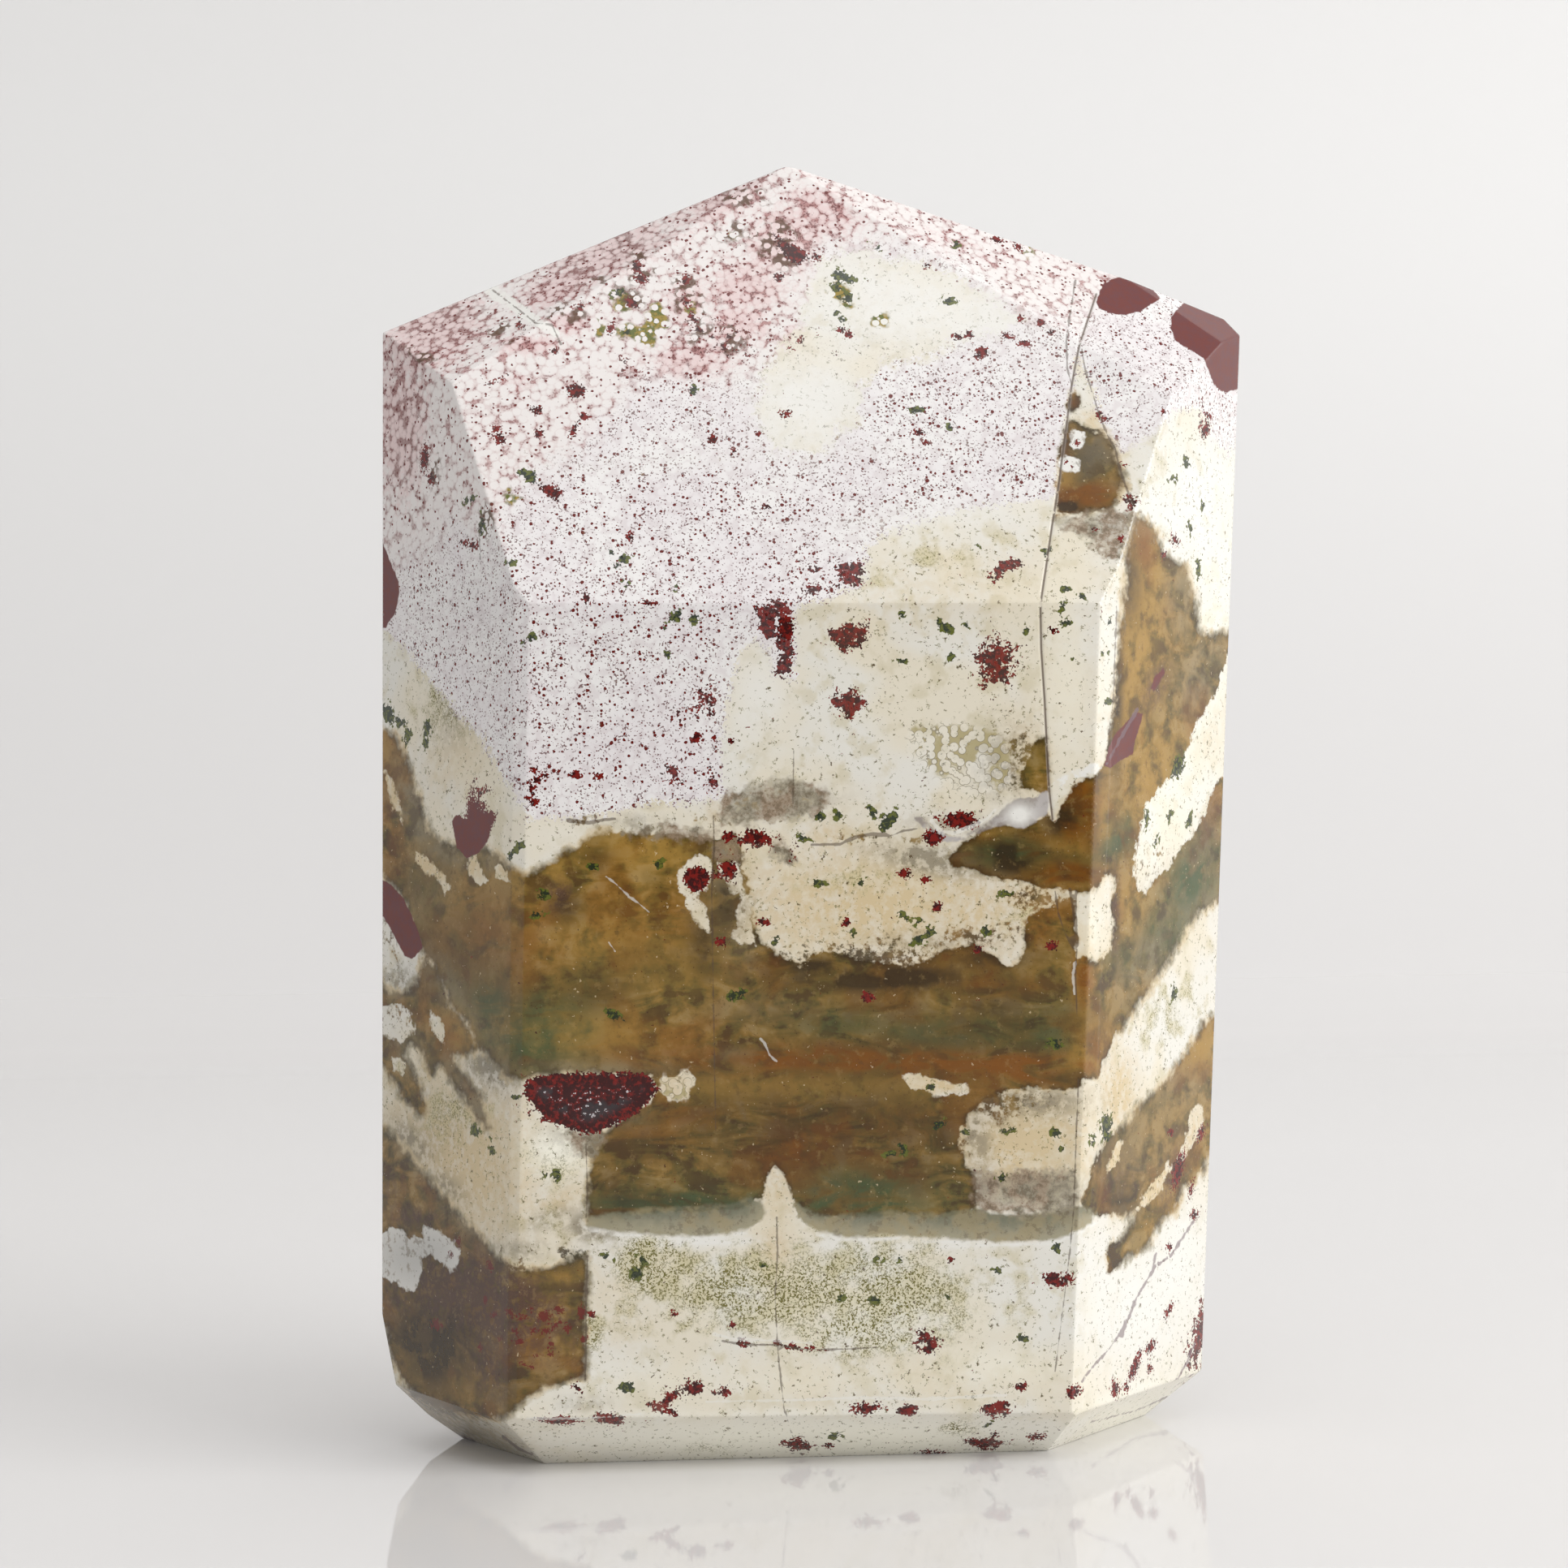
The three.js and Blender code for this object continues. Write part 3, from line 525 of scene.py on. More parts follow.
PINK_TINT = [
    (530, 415, 90, 50, 0.9, -25), (750, 312, 120, 36, 0.8, -22), (890, 250, 80, 26, 0.8, -22),
    (850, 448, 60, 30, 0.9, -10), (690, 352, 60, 22, 1.0, -22), (920, 355, 60, 36, 0.9),
    (910, 400, 46, 30, 0.9), (965, 300, 50, 46, 1.0, 20), (846, 372, 26, 30, 0.9), (700, 398, 30, 18, 0.8),
    (645, 425, 50, 14, 0.9), (495, 520, 36, 110, 0.9), (1010, 262, 60, 36, 0.8, 20),
    (1170, 300, 130, 20, 0.4, 22), (1265, 400, 60, 26, 0.6, 20), (640, 470, 30, 14, 0.5),
    (980, 420, 24, 24, 0.9), (500, 620, 40, 60, 0.3), (700, 120, 300, 100, 0.5), (1200, 180, 200, 60, 0.4)]

NETTING = [
    (560, 385, 130, 44, 0.7, -25), (760, 300, 130, 34, 0.9, -22), (900, 238, 80, 20, 0.6, -22),
    (510, 580, 50, 150, 0.8), (540, 700, 40, 100, 0.7, 15), (570, 800, 30, 60, 0.5, 10),
    (750, 480, 200, 30, 0.15)]

SMOKE = [
    (1150, 1060, 60, 16, 1.4, 10), (500, 1408, 34, 20, 1.1, 35), (548, 1462, 30, 16, 0.8, 40),
    (732, 1510, 34, 18, 1.2), (606, 1318, 34, 20, 1.2, 30), (1275, 1358, 60, 18, 0.9),
    (490, 1210, 24, 22, 0.9), (1200, 1390, 16, 40, 0.9, 10), (1230, 1356, 40, 12, 0.9, -8),
    (975, 985, 60, 16, 0.4), (912, 1000, 30, 14, 0.3), (780, 1012, 40, 8, 0.5),
    (1225, 1365, 26, 26, 0.9, 30), (1210, 1410, 14, 34, 0.7), (1235, 940, 30, 40, 0.7),
    (1290, 1470, 60, 16, 0.5), (700, 1400, 36, 20, 0.4), (560, 885, 30, 40, 0.4, 30),
    (1170, 1015, 50, 12, 0.5), (1150, 1160, 70, 12, 0.5), (640, 1540, 40, 12, 0.6),
    (560, 1765, 90, 24, 0.3, 25), (900, 1120, 24, 40, 0.7), (680, 1500, 40, 12, 0.5, -20),
    (720, 1730, 30, 10, 0.4), (1310, 1130, 10, 30, 0.5), (1440, 1100, 30, 30, 0.4)]

# Painted light: near-white laid on the foot's bevels, low on the front and in strips toward the right, where
# these parts look more brightly lit.
PAINTED_LIGHT = [
    (1318, 830, 34, 120, 0.4), (1400, 1755, 90, 34, 1.3, -18), (1340, 1785, 50, 20, 0.9, -10),
    (1010, 1775, 330, 28, 1.2), (1230, 1685, 90, 30, 0.5), (1000, 1700, 420, 30, 0.3), (690, 1415, 44, 30),
    (1100, 1630, 200, 50, 0.2), (1450, 900, 60, 300, 0.4, 15), (1340, 1140, 20, 50, 0.5)]

DOT_TINT = [
    (1200, 480, 110, 60, 0.9), (1180, 600, 130, 40, 0.9), (900, 620, 330, 60, 0.5),
    (760, 760, 200, 130, 0.6), (1150, 590, 120, 30, 0.7), (640, 900, 60, 100, 0.8), (880, 900, 40, 60, 0.6),
    (1000, 480, 200, 40, 0.5), (560, 780, 60, 100, 0.5), (760, 900, 160, 80, 0.5)]

# Lines: each is a chain of places, then its half width at the start and at the end. The fissure is only
# a chain.

FISSURE = [
    (1351, 362), (1340, 395), (1330, 425), (1325, 450), (1320, 478), (1312, 540), (1304, 600), (1296, 650),
    (1288, 705), (1282, 745), (1283, 800), (1287, 860), (1290, 920), (1293, 975), (1297, 1010)]

DARK_LINES = [
    ([(1318, 1095), (1323, 1125), (1327, 1170), (1325, 1200), (1327, 1250)], 1.3, 0.9),
    ([(1329, 1330), (1326, 1400), (1323, 1490), (1318, 1545), (1310, 1610), (1300, 1690)], 0.8, 0.5),
    ([(1325, 345), (1318, 390), (1314, 420), (1315, 455), (1321, 475)], 1.2, 1.0),
    ([(700, 1011), (725, 1014), (745, 1010), (758, 1009)], 2.6, 1.2),
    ([(1000, 1041), (1035, 1040), (1055, 1031), (1075, 1028), (1092, 1029)], 1.4, 2.6),
    ([(1098, 1030), (1112, 1024), (1130, 1021)], 1.2, 1.2),
    ([(890, 1652), (905, 1655), (925, 1657), (958, 1657), (985, 1662), (1012, 1663), (1050, 1662),
      (1080, 1660)], 1.4, 1.0),
    ([(879, 1005), (880, 1040), (877, 1100), (878, 1170)], 1.0, 1.3),
    ([(878, 1170), (880, 1290), (882, 1400)], 0.8, 0.5),
    ([(957, 1500), (958, 1545), (955, 1600), (958, 1660), (962, 1700), (966, 1735), (975, 1765),
      (988, 1794)], 0.9, 0.7),
    ([(1352, 505), (1365, 537), (1374, 552), (1379, 575), (1388, 602), (1396, 622)], 1.0, 1.6),
    ([(1333, 432), (1337, 455), (1344, 478), (1351, 500)], 0.9, 0.9),
    ([(724, 1548), (722, 1600), (722, 1650), (721, 1700)], 1.5, 1.2),
    ([(722, 1500), (724, 1470), (722, 1410)], 0.7, 0.7),
    ([(600, 352), (632, 376), (660, 398), (680, 400), (691, 424)], 0.9, 0.9),
    ([(1300, 1098), (1304, 1125), (1312, 1150), (1322, 1168)], 1.0, 0.9),
    ([(978, 925), (977, 990)], 0.7, 0.7),
    ([(1376, 740), (1374, 800), (1372, 860), (1366, 905)], 1.2, 1.2),
    ([(1326, 1098), (1325, 1125), (1328, 1165)], 1.6, 1.4),
    ([(590, 650), (592, 690)], 0.6, 0.6)]

# Pale lines and scratches. The line along the edge of the right facet and the short one on the crack right of
# the middle are painted highlights.
PALE_LINES_AND_HIGHLIGHTS = [
    ([(747, 1080), (760, 1090), (775, 1105), (787, 1113), (800, 1124)], 1.1, 0.8),
    ([(750, 1161), (758, 1172)], 0.9, 0.8),
    ([(1148, 1012), (1158, 1024), (1176, 1027), (1200, 1017), (1216, 1009), (1226, 998)], 2.6, 2.0),
    ([(937, 1280), (943, 1287), (948, 1300), (957, 1308)], 1.0, 0.9),
    ([(880, 1644), (900, 1649), (925, 1651), (960, 1652), (1000, 1655)], 2.0, 1.2),
    ([(1325, 1186), (1322, 1200), (1324, 1225)], 2.2, 1.2),
    ([(870, 1727), (930, 1726), (990, 1725), (1060, 1722), (1140, 1724), (1240, 1719)], 1.0, 2.2),
    ([(650, 1748), (720, 1748), (790, 1742)], 1.6, 1.0),
    ([(1398, 634), (1392, 655), (1386, 675), (1378, 697)], 1.0, 1.0),
    ([(700, 452), (716, 462), (730, 475)], 0.7, 0.5)]

RIM_LINES = [
    ([(722, 1513), (760, 1520), (820, 1524), (880, 1525), (920, 1519), (942, 1507), (948, 1492)], 2.6, 2.0),
    ([(966, 1490), (985, 1512), (1020, 1524), (1060, 1528), (1110, 1526), (1160, 1529), (1240, 1533),
      (1295, 1531), (1330, 1519), (1350, 1506)], 2.2, 2.6)]

VEIN_LINES = [
    ([(1364, 941), (1376, 918), (1390, 893), (1401, 874)], 1.6, 2.4),
    ([(1332, 1704), (1348, 1682), (1365, 1664), (1378, 1646), (1390, 1625), (1400, 1600), (1414, 1576),
      (1424, 1560), (1442, 1548), (1455, 1528), (1470, 1505)], 1.2, 1.6),
    ([(1424, 1545), (1419, 1570)], 1.2, 1.2),
    ([(1381, 1645), (1388, 1628)], 3.0, 2.4),
    ([(620, 1770), (640, 1786), (655, 1792)], 2.2, 1.6),
    ([(540, 1758), (560, 1766), (585, 1776)], 2.4, 1.6),
    ([(1345, 1752), (1400, 1738), (1440, 1720)], 0.8, 0.6),
    ([(1472, 1655), (1462, 1680), (1450, 1700)], 1.6, 1.2)]

# Colours, in the screen's own 0 to 255.
ORB_WHITE = (233, 227, 224)
PINK_GROUND = (226, 204, 202)
NET_PINK = (176, 126, 124)
NET_GREY = (144, 116, 112)
NET_DARK = (106, 52, 50)
FIELD_WHITE = (237, 234, 232)
FIELD_LILAC = (232, 227, 227)
FIELD_SHADE = (208, 196, 197)
SPECK = (98, 54, 54)
DOT_MAROON = (104, 30, 26)
CREAM = (228, 220, 201)
CREAM_PALE = (229, 226, 217)
CREAM_WARM = (212, 192, 154)
CREAM_SHADE = (207, 197, 168)
CREAM_GREEN = (200, 191, 148)
EDGE_GREY = (150, 140, 112)
FLECK_GREEN = (116, 110, 58)
FLECK_DARK = (84, 66, 40)
BROWN_DARK = (76, 56, 24)
BROWN_MID = (124, 97, 42)
BROWN_LIGHT = (146, 115, 55)
BROWN_PALE = (164, 136, 84)
OLIVE = (100, 86, 38)
GOLD = (168, 131, 60)
ORANGE = (128, 75, 12)
TEAL = (66, 84, 52)
GREY = (136, 124, 98)
PLUM = (88, 62, 52)
DARK = (44, 31, 12)
HONEY = (168, 154, 104)
RIM_GREY = (154, 147, 120)
RIM_DEEP = (100, 102, 80)
RIM_WARM = (162, 144, 104)
MAUVE = (148, 128, 106)
PALE_GREY = (204, 202, 204)
# The near-white of the painted light on the bevels.
PAINTED_LIGHT_WHITE = (254, 251, 236)
AGATE_GREY = (148, 138, 132)
AGATE_PALE = (180, 174, 172)
SMOKE_GREY = (140, 131, 112)
GAP_BROWN = (88, 58, 30)
STEEL = (58, 54, 56)
MILK = (236, 234, 228)
JASPER_RED = (110, 52, 47)
JASPER_PLUM = (104, 54, 54)
MAROON_DEEP = (58, 14, 13)
MAROON_RED = (122, 26, 19)
BLOOD_DOT = (106, 26, 24)
GREEN = (94, 100, 32)
GREEN_DARK = (24, 40, 20)
OLIVE_YELLOW = (154, 130, 46)
CRACK_DARK = (84, 68, 54)
CRACK_GREY = (176, 164, 154)
VEIN_GREY = (120, 100, 106)

# The values at which the brown's colours stand, from dark to pale.
BROWN_BANDS = (
    (0.42, BROWN_DARK), (0.46, OLIVE), (0.495, BROWN_MID), (0.535, BROWN_LIGHT), (0.59, BROWN_PALE))

# How large the largest dots are, in parts of a cell.
DOT_SIZE = 0.36

# The middle and half the width of the broad front face, and where it turns into the sides, in millimetres.
FRONT_MIDDLE, FRONT_HALF = 4.0, 20.5
TURN_FROM, TURN_TO = FRONT_HALF - 0.5, FRONT_HALF + 1.0

# On the front and on the sides: the width of the tan beside the brown in millimetres, and how soft the
# edges of the brown are.
HALO_WIDTHS = (0.14, 0.36)
EDGE_SPREADS = (1.0, 2.6)

# Polish, and how strongly the surfaces bend light.
STONE_ROUGHNESS = (0.09, 0.16)
STONE_IOR = 1.54
FLOOR_ROUGHNESS, WALL_ROUGHNESS = 0.05, 0.8
TABLE_IOR = 1.38

# The curve from screen values to light.
CURVE_KNEE, CURVE_START, CURVE_SHIFT, CURVE_POWER = 0.04045, 12.92, 0.055, 2.4

# The sockets of a node that mixes colours.
MIX_MASK, MIX_BELOW, MIX_ABOVE, MIX_MADE = 0, 6, 7, 2

# The table, in metres.
FLOOR_COLOUR = (222, 220, 219)
WALL_COLOUR = (234, 233, 232)
WALL_FROM, WALL_TO = 0.03, 0.26
TABLE_FRONT, TABLE_BACK, SWEEP_RADIUS, WALL_TOP, HALF_WIDTH = -0.75, 0.34, 0.30, 1.6, 1.8
SWEEP_STEPS = 24

# The lights: name, place, the place each shines at, width and height, power and colour.
STONE_MIDDLE = (0.0, 0.0, 0.05)
LIGHTS = [
    ("key_softbox", (1.5, -0.75, 0.85), STONE_MIDDLE, (1.2, 1.2), 22.6, (1.0, 1.0, 0.995)),
    ("right_strip", (0.9, 0.12, 0.12), STONE_MIDDLE, (0.45, 0.7), 1.3, (1.0, 1.0, 0.99)),
    ("top_softbox", (0.0, -0.25, 0.9), (0.0, -0.1, 0.0), (0.8, 0.7), 2.0, (1.0, 1.0, 1.0))]

# The room's light, and its dark part: the way it lies, its light, and where it begins and ends.
ROOM_COLOUR = (1.0, 1.0, 1.0, 1.0)
ROOM_LIGHT = 0.615
DARK_WAY = (0.12, -0.99, 0.0)
DARK_LIGHT = 0.10
DARK_FROM, DARK_TO = 0.84, 0.95


# The camera

def add_object(name, data):
    made = bpy.data.objects.new(name, data)
    bpy.context.scene.collection.objects.link(made)
    return made


def add_camera():
    data = bpy.data.cameras.new("camera")
    data.lens = LENS
    data.sensor_width = SENSOR
    data.clip_start, data.clip_end = CLIP_NEAR, CLIP_FAR
    camera = add_object("camera", data)
    camera.location = CAMERA_PLACE
    camera.rotation_euler = (math.pi / 2, CAMERA_LEAN, 0)
    bpy.context.scene.camera = camera


def picture_point(points):
    """Where points in space lie in the picture, in its pixels."""
    offset = points - np.array(CAMERA_PLACE)
    right = offset[:, 0] / offset[:, 1] * PIXELS_PER_TANGENT
    down = -offset[:, 2] / offset[:, 1] * PIXELS_PER_TANGENT
    c, s = math.cos(CAMERA_LEAN), math.sin(CAMERA_LEAN)
    middle = PICTURE_SIDE / 2
    return np.stack([middle + c * right + s * down, middle - s * right + c * down], axis=1)


def picture_rays(pixels):
    """Directions from the camera through places in the picture."""
    c, s = math.cos(CAMERA_LEAN), math.sin(CAMERA_LEAN)
    rel = np.asarray(pixels, dtype=float) - PICTURE_SIDE / 2
    right = (c * rel[:, 0] - s * rel[:, 1]) / PIXELS_PER_TANGENT
    down = (s * rel[:, 0] + c * rel[:, 1]) / PIXELS_PER_TANGENT
    return np.stack([right, np.ones(len(rel)), -down], axis=1)


# The solid's planes, corners and faces

def solid_planes(mesh):
    """The flat faces of the solid as unit normals and distances, largest first."""
    normals, distances = [], []
    for polygon in sorted(mesh.polygons, key=lambda p: -p.area):
        normal = np.array(polygon.normal)
        places = np.array([mesh.vertices[i].co for i in polygon.vertices])
        known = False
        for n, d in zip(normals, distances):
            known = known or (n @ normal > SAME_WAY and np.abs(places @ n - d).max() < ON_PLANE)
        if not known:
            normals.append(normal)
            distances.append(float((places @ normal).mean()))
    return np.array(normals), np.array(distances)


def solid_corners(mesh):
    corners = []
    for vertex in mesh.vertices:
        place = np.array(vertex.co)
        if all(np.linalg.norm(place - c) > SAME_CORNER for c in corners):
            corners.append(place)
    return np.array(corners)


def solid_faces(mesh):
    """The solid's planes and corners, and for each plane its corners in order round the face."""
    normals, distances = solid_planes(mesh)
    corners = solid_corners(mesh)
    loops, kept = [], []
    for number, (normal, distance) in enumerate(zip(normals, distances)):
        ids = np.where(np.abs(corners @ normal - distance) < 2 * ON_PLANE)[0]
        if len(ids) < 3:
            continue
        across, up = flat_axes(normal)
        rel = corners[ids] - corners[ids].mean(axis=0)
        loops.append(ids[np.argsort(np.arctan2(rel @ up, rel @ across))])
        kept.append(number)
    return normals[kept], distances[kept], corners, loops


def flat_axes(normal):
    """Two directions that lie in a plane, so that across, up and the normal are right-handed."""
    helper = (0.0, 0.0, 1.0) if abs(normal[2]) < LEVEL_FROM else (0.0, 1.0, 0.0)
    across = np.cross(helper, normal)
    across /= np.linalg.norm(across)
    return across, np.cross(normal, across)


def edge_key(a, b):
    return min(a, b), max(a, b)


def corner_pairs(loop):
    return [(int(a), int(b)) for a, b in zip(loop, np.roll(loop, -1))]


def is_seen(normal, distance):
    """True for a face that looks toward the camera."""
    return normal @ np.array(CAMERA_PLACE) > distance


# The fine skin of the stone

class Skin:
    """Collects the points and triangles of the stone's surface, face by face."""

    def __init__(self, corners):
        self.points = [np.array(c) for c in corners]
        self.on_edge = {}
        self.triangles = []

    def add(self, place):
        self.points.append(np.array(place))
        return len(self.points) - 1

    def edge(self, a, b, step):
        """Point numbers along the edge from corner a to corner b, shared by the two faces that meet there."""
        key = edge_key(a, b)
        if key not in self.on_edge:
            start, end = self.points[key[0]], self.points[key[1]]
            count = max(1, int(round(np.linalg.norm(end - start) / step)))
            inner = [self.add(start + (end - start) * i / count) for i in range(1, count)]
            self.on_edge[key] = [key[0], *inner, key[1]]
        line = self.on_edge[key]
        return line if a == key[0] else line[::-1]


def outline_sides(outline):
    """Each side of a plane outline given in order: its start, length, direction and the way inward."""
    for a, b in zip(outline, np.roll(outline, -1, axis=0)):
        length = np.linalg.norm(b - a)
        along = (b - a) / length
        yield a, length, along, np.array([-along[1], along[0]])


def inside_depth(flat, outline):
    """How far points of a plane lie inside a convex outline, less than 0 outside."""
    depth = np.full(len(flat), np.inf)
    for a, _, _, inward in outline_sides(outline):
        depth = np.minimum(depth, (flat - a) @ inward)
    return depth


def hex_points(low, high, step):
    """A triangular grid of points over a rectangle."""
    rows = np.arange(low[1], high[1], step * math.sqrt(3) / 2)
    grid = [np.zeros((0, 2))]
    for number, y in enumerate(rows):
        xs = np.arange(low[0] + (number % 2) * step / 2, high[0], step)
        grid.append(np.stack([xs, np.full(len(xs), y)], axis=1))
    return np.concatenate(grid)


def rows_beside_edges(outline, step):
    """Points in rows close beside each edge of an outline, where the edge is rounded."""
    rows = []
    for a, length, along, inward in outline_sides(outline):
        count = max(1, int(round(length / step)))
        spots = (np.arange(count) + 0.5) / count
        for depth in EDGE_ROWS:
            rows.append(a + np.outer(spots * length, along) + inward * depth)
    return np.concatenate(rows)


def thin_out(points, gap):
    """Leaves out each point that is closer than a gap to an earlier one."""
    cells = {}
    kept = []
    for place in points:
        key = (int(math.floor(place[0] / gap)), int(math.floor(place[1] / gap)))
        near = False
        for i in (-1, 0, 1):
            for j in (-1, 0, 1):
                for other in cells.get((key[0] + i, key[1] + j), ()):
                    near = near or (place[0] - other[0]) ** 2 + (place[1] - other[1]) ** 2 < gap * gap
        if not near:
            cells.setdefault(key, []).append(place)
            kept.append(place)
    return np.array(kept).reshape(-1, 2)


def away_from(points, others, gap):
    """The points that lie further than a gap from every one of the others."""
    if not len(others):
        return points
    tree = kdtree.KDTree(len(others))
    for i, place in enumerate(others):
        tree.insert((*place, 0.0), i)
    tree.balance()
    keep = [tree.find((*p, 0.0))[2] > gap for p in points]
    return points[keep]


def skin_face(skin, normal, loop, step, edge_steps, marks):
    """Fills one flat face of the stone with fine triangles."""
    across, up = flat_axes(normal)
    rim = []
    for a, b in corner_pairs(loop):
        rim += skin.edge(a, b, edge_steps[edge_key(a, b)])[:-1]
    places = np.array([skin.points[i] for i in rim])
    origin = places[0]
    flatten = np.stack([across, up], axis=1)
    flat_rim = (places - origin) @ flatten
    outline = (np.array([skin.points[i] for i in loop]) - origin) @ flatten
    special = thin_out((marks - origin) @ flatten, MARK_GAP)
    special = special[inside_depth(special, outline) > MARK_INSET]
    rows = rows_beside_edges(outline, step)
    rows = rows[inside_depth(rows, outline) > ROW_INSET]
    grid = hex_points(flat_rim.min(axis=0), flat_rim.max(axis=0), step)
    grid = grid[inside_depth(grid, outline) > EDGE_ROWS[-1] + step * GRID_CLEARANCE]
    grid = away_from(grid, special, step * GRID_CLEARANCE)
    inner = thin_out(np.concatenate([special, rows, grid]), SMALLEST_GAP)
    coords = [Vector(p) for p in (*flat_rim, *inner)]
    ring = [(i, (i + 1) % len(rim)) for i in range(len(rim))]
    out, _, triangles, origins, _, _ = delaunay_2d_cdt(coords, ring, [], FILL_INSIDE, SAME_POINT)
    number = []
    for place, came_from in zip(out, origins):
        known = next((rim[i] for i in came_from if i < len(rim)), None)
        if known is None:
            known = skin.add(origin + across * place[0] + up * place[1])
        number.append(known)
    for triangle in triangles:
        skin.triangles.append([number[i] for i in triangle])


def edge_fineness(loops, seen):
    """An edge is as fine as the finer of its two faces."""
    steps = {}
    for loop, is_front in zip(loops, seen):
        step = FINE_STEP if is_front else COARSE_STEP
        for a, b in corner_pairs(loop):
            steps[edge_key(a, b)] = min(steps.get(edge_key(a, b), step), step)
    return steps


def rounded(points, normals, distances):
    """Moves points of the sharp solid onto the same solid with rounded edges. Returns places and normals."""
    core = points.copy()
    shifts = np.zeros((len(normals),) + points.shape)
    for _ in range(ROUNDING_ROUNDS):
        for i, (n, d) in enumerate(zip(normals, distances - EDGE_RADIUS)):
            held = core + shifts[i]
            core = held - np.outer(np.maximum(held @ n - d, 0), n)
            shifts[i] = held - core
    way = points - core
    way /= np.linalg.norm(way, axis=1)[:, None]
    return core + way * EDGE_RADIUS, way


# Places of the markings

def spaced(chain, gap, closed=False):
    """Points along a chain of places in the picture, at most a gap apart."""
    chain = np.array(chain, dtype=float)
    ends = np.roll(chain, -1, axis=0) if closed else chain[1:]
    made = []
    for a, b in zip(chain, ends):
        count = max(1, int(math.ceil(np.linalg.norm(b - a) / gap)))
        made.append(a + np.outer(np.arange(count) / count, b - a))
    if not closed:
        made.append(chain[-1:])
    return np.concatenate(made)


def beside(chain, shift):
    """The same chain of places moved sideways by a number of pixels."""
    way = np.gradient(chain, axis=0)
    way /= np.linalg.norm(way, axis=1)[:, None]
    return chain + np.stack([-way[:, 1], way[:, 0]], axis=1) * shift


def ellipse_ring(across, down, wide, high, tilt=0):
    """The middle of an ellipse and places round it."""
    c, s = math.cos(math.radians(tilt)), math.sin(math.radians(tilt))
    ring = [(across, down)]
    for i in range(RING_PLACES):
        angle = 2 * math.pi * i / RING_PLACES
        u, v = wide * math.cos(angle), high * math.sin(angle)
        ring.append((across + c * u - s * v, down + s * u + c * v))
    return np.array(ring)


def mark_pixels():
    """Places in the picture where the skin needs points of its own, the most important first."""
    step = LINE_STEP / MM * PIXELS_PER_MM
    line = spaced(FISSURE, step)
    groups = [line] + [beside(line, row / MM * PIXELS_PER_MM) for row in GROOVE_ROWS]
    groups += [spaced(chain, step) for chain, _, _ in DARK_LINES + PALE_LINES_AND_HIGHLIGHTS + VEIN_LINES]
    groups += [ellipse_ring(*row) for row in MAROON_ELLIPSES + RED_DOT_ELLIPSES + GREEN_ELLIPSES]
    for outlines in (MAROON, RED_JASPER, BROWN, CREAM_OVER, WHITE, AGATE_RIM, PALE_AGATE):
        groups += [spaced(outline, step * OUTLINE_SPACING, closed=True) for outline in outlines]
    return np.concatenate(groups)


def marks_on_face(pixels, normal, distance):
    """The picture's places carried onto one face's plane."""
    eye = np.array(CAMERA_PLACE)
    rays = picture_rays(pixels)
    reach = (distance - normal @ eye) / (rays @ normal)
    return eye + rays * reach[:, None]


# How deep a place lies in each marking: the fields from which the material makes the markings

def segment_distance(spots, a, b):
    """Distance to a straight stretch, and how far along it the nearest place is, 0 to 1."""
    way = b - a
    along = np.clip((spots - a) @ way / max(way @ way, TINY), 0, 1)
    return np.linalg.norm(spots - a - np.outer(along, way), axis=1), along


def is_near(places, chain):
    """True for places that aren't too far from a chain of places for it to matter."""
    return np.all((places > chain.min(axis=0) - FAR) & (places < chain.max(axis=0) + FAR), axis=1)


def outline_depth(places, outline):
    """How deep places lie inside one outline, in pixels, less than 0 outside, and never beyond FAR."""
    outline = np.array(outline, dtype=float)
    near = is_near(places, outline)
    depth = np.full(len(places), -FAR)
    spots = places[near]
    distance = np.full(len(spots), np.inf)
    inside = np.zeros(len(spots), dtype=bool)
    for a, b in zip(outline, np.roll(outline, -1, axis=0)):
        distance = np.minimum(distance, segment_distance(spots, a, b)[0])
        crosses = (a[1] > spots[:, 1]) != (b[1] > spots[:, 1])
        rise = b[1] - a[1] if b[1] != a[1] else TINY
        at = a[0] + (spots[:, 1] - a[1]) / rise * (b[0] - a[0])
        inside ^= crosses & (spots[:, 0] < at)
    depth[near] = np.clip(np.where(inside, distance, -distance), -FAR, FAR)
    return depth


def outlines_depth(places, outlines):
    """Depth inside the deepest of many outlines, in millimetres."""
    depths = [outline_depth(places, outline) for outline in outlines]
    return np.max(depths, axis=0) / PIXELS_PER_MM


def in_ellipse(places, across, down, wide, high, tilt=0):
    """Places measured from the middle of an ellipse, in its own half widths and half heights."""
    c, s = math.cos(math.radians(tilt)), math.sin(math.radians(tilt))
    rel = places - (across, down)
    return (c * rel[:, 0] + s * rel[:, 1]) / wide, (c * rel[:, 1] - s * rel[:, 0]) / high


def ellipses_depth(places, rows):
    """Depth inside the deepest of many ellipses, in millimetres."""
    depth = np.full(len(places), -FAR)
    for row in rows:
        across, down, wide, high = row[:4]
        near = np.abs(places - (across, down)).max(axis=1) < max(wide, high) + FAR
        reach = np.hypot(*in_ellipse(places[near], *row))
        depth[near] = np.maximum(depth[near], (1 - reach) * min(wide, high))
    return depth / PIXELS_PER_MM


def tint(places, rows):
    """The strongest of many soft ellipses. Each has its full strength at its middle, and fades outward."""
    strongest = np.zeros(len(places))
    for across, down, wide, high, *rest in rows:
        strength = rest[0] if rest else 1.0
        u, v = in_ellipse(places, across, down, wide, high, *rest[1:])
        strongest = np.maximum(strongest, strength * np.exp(-(u * u + v * v)))
    return strongest


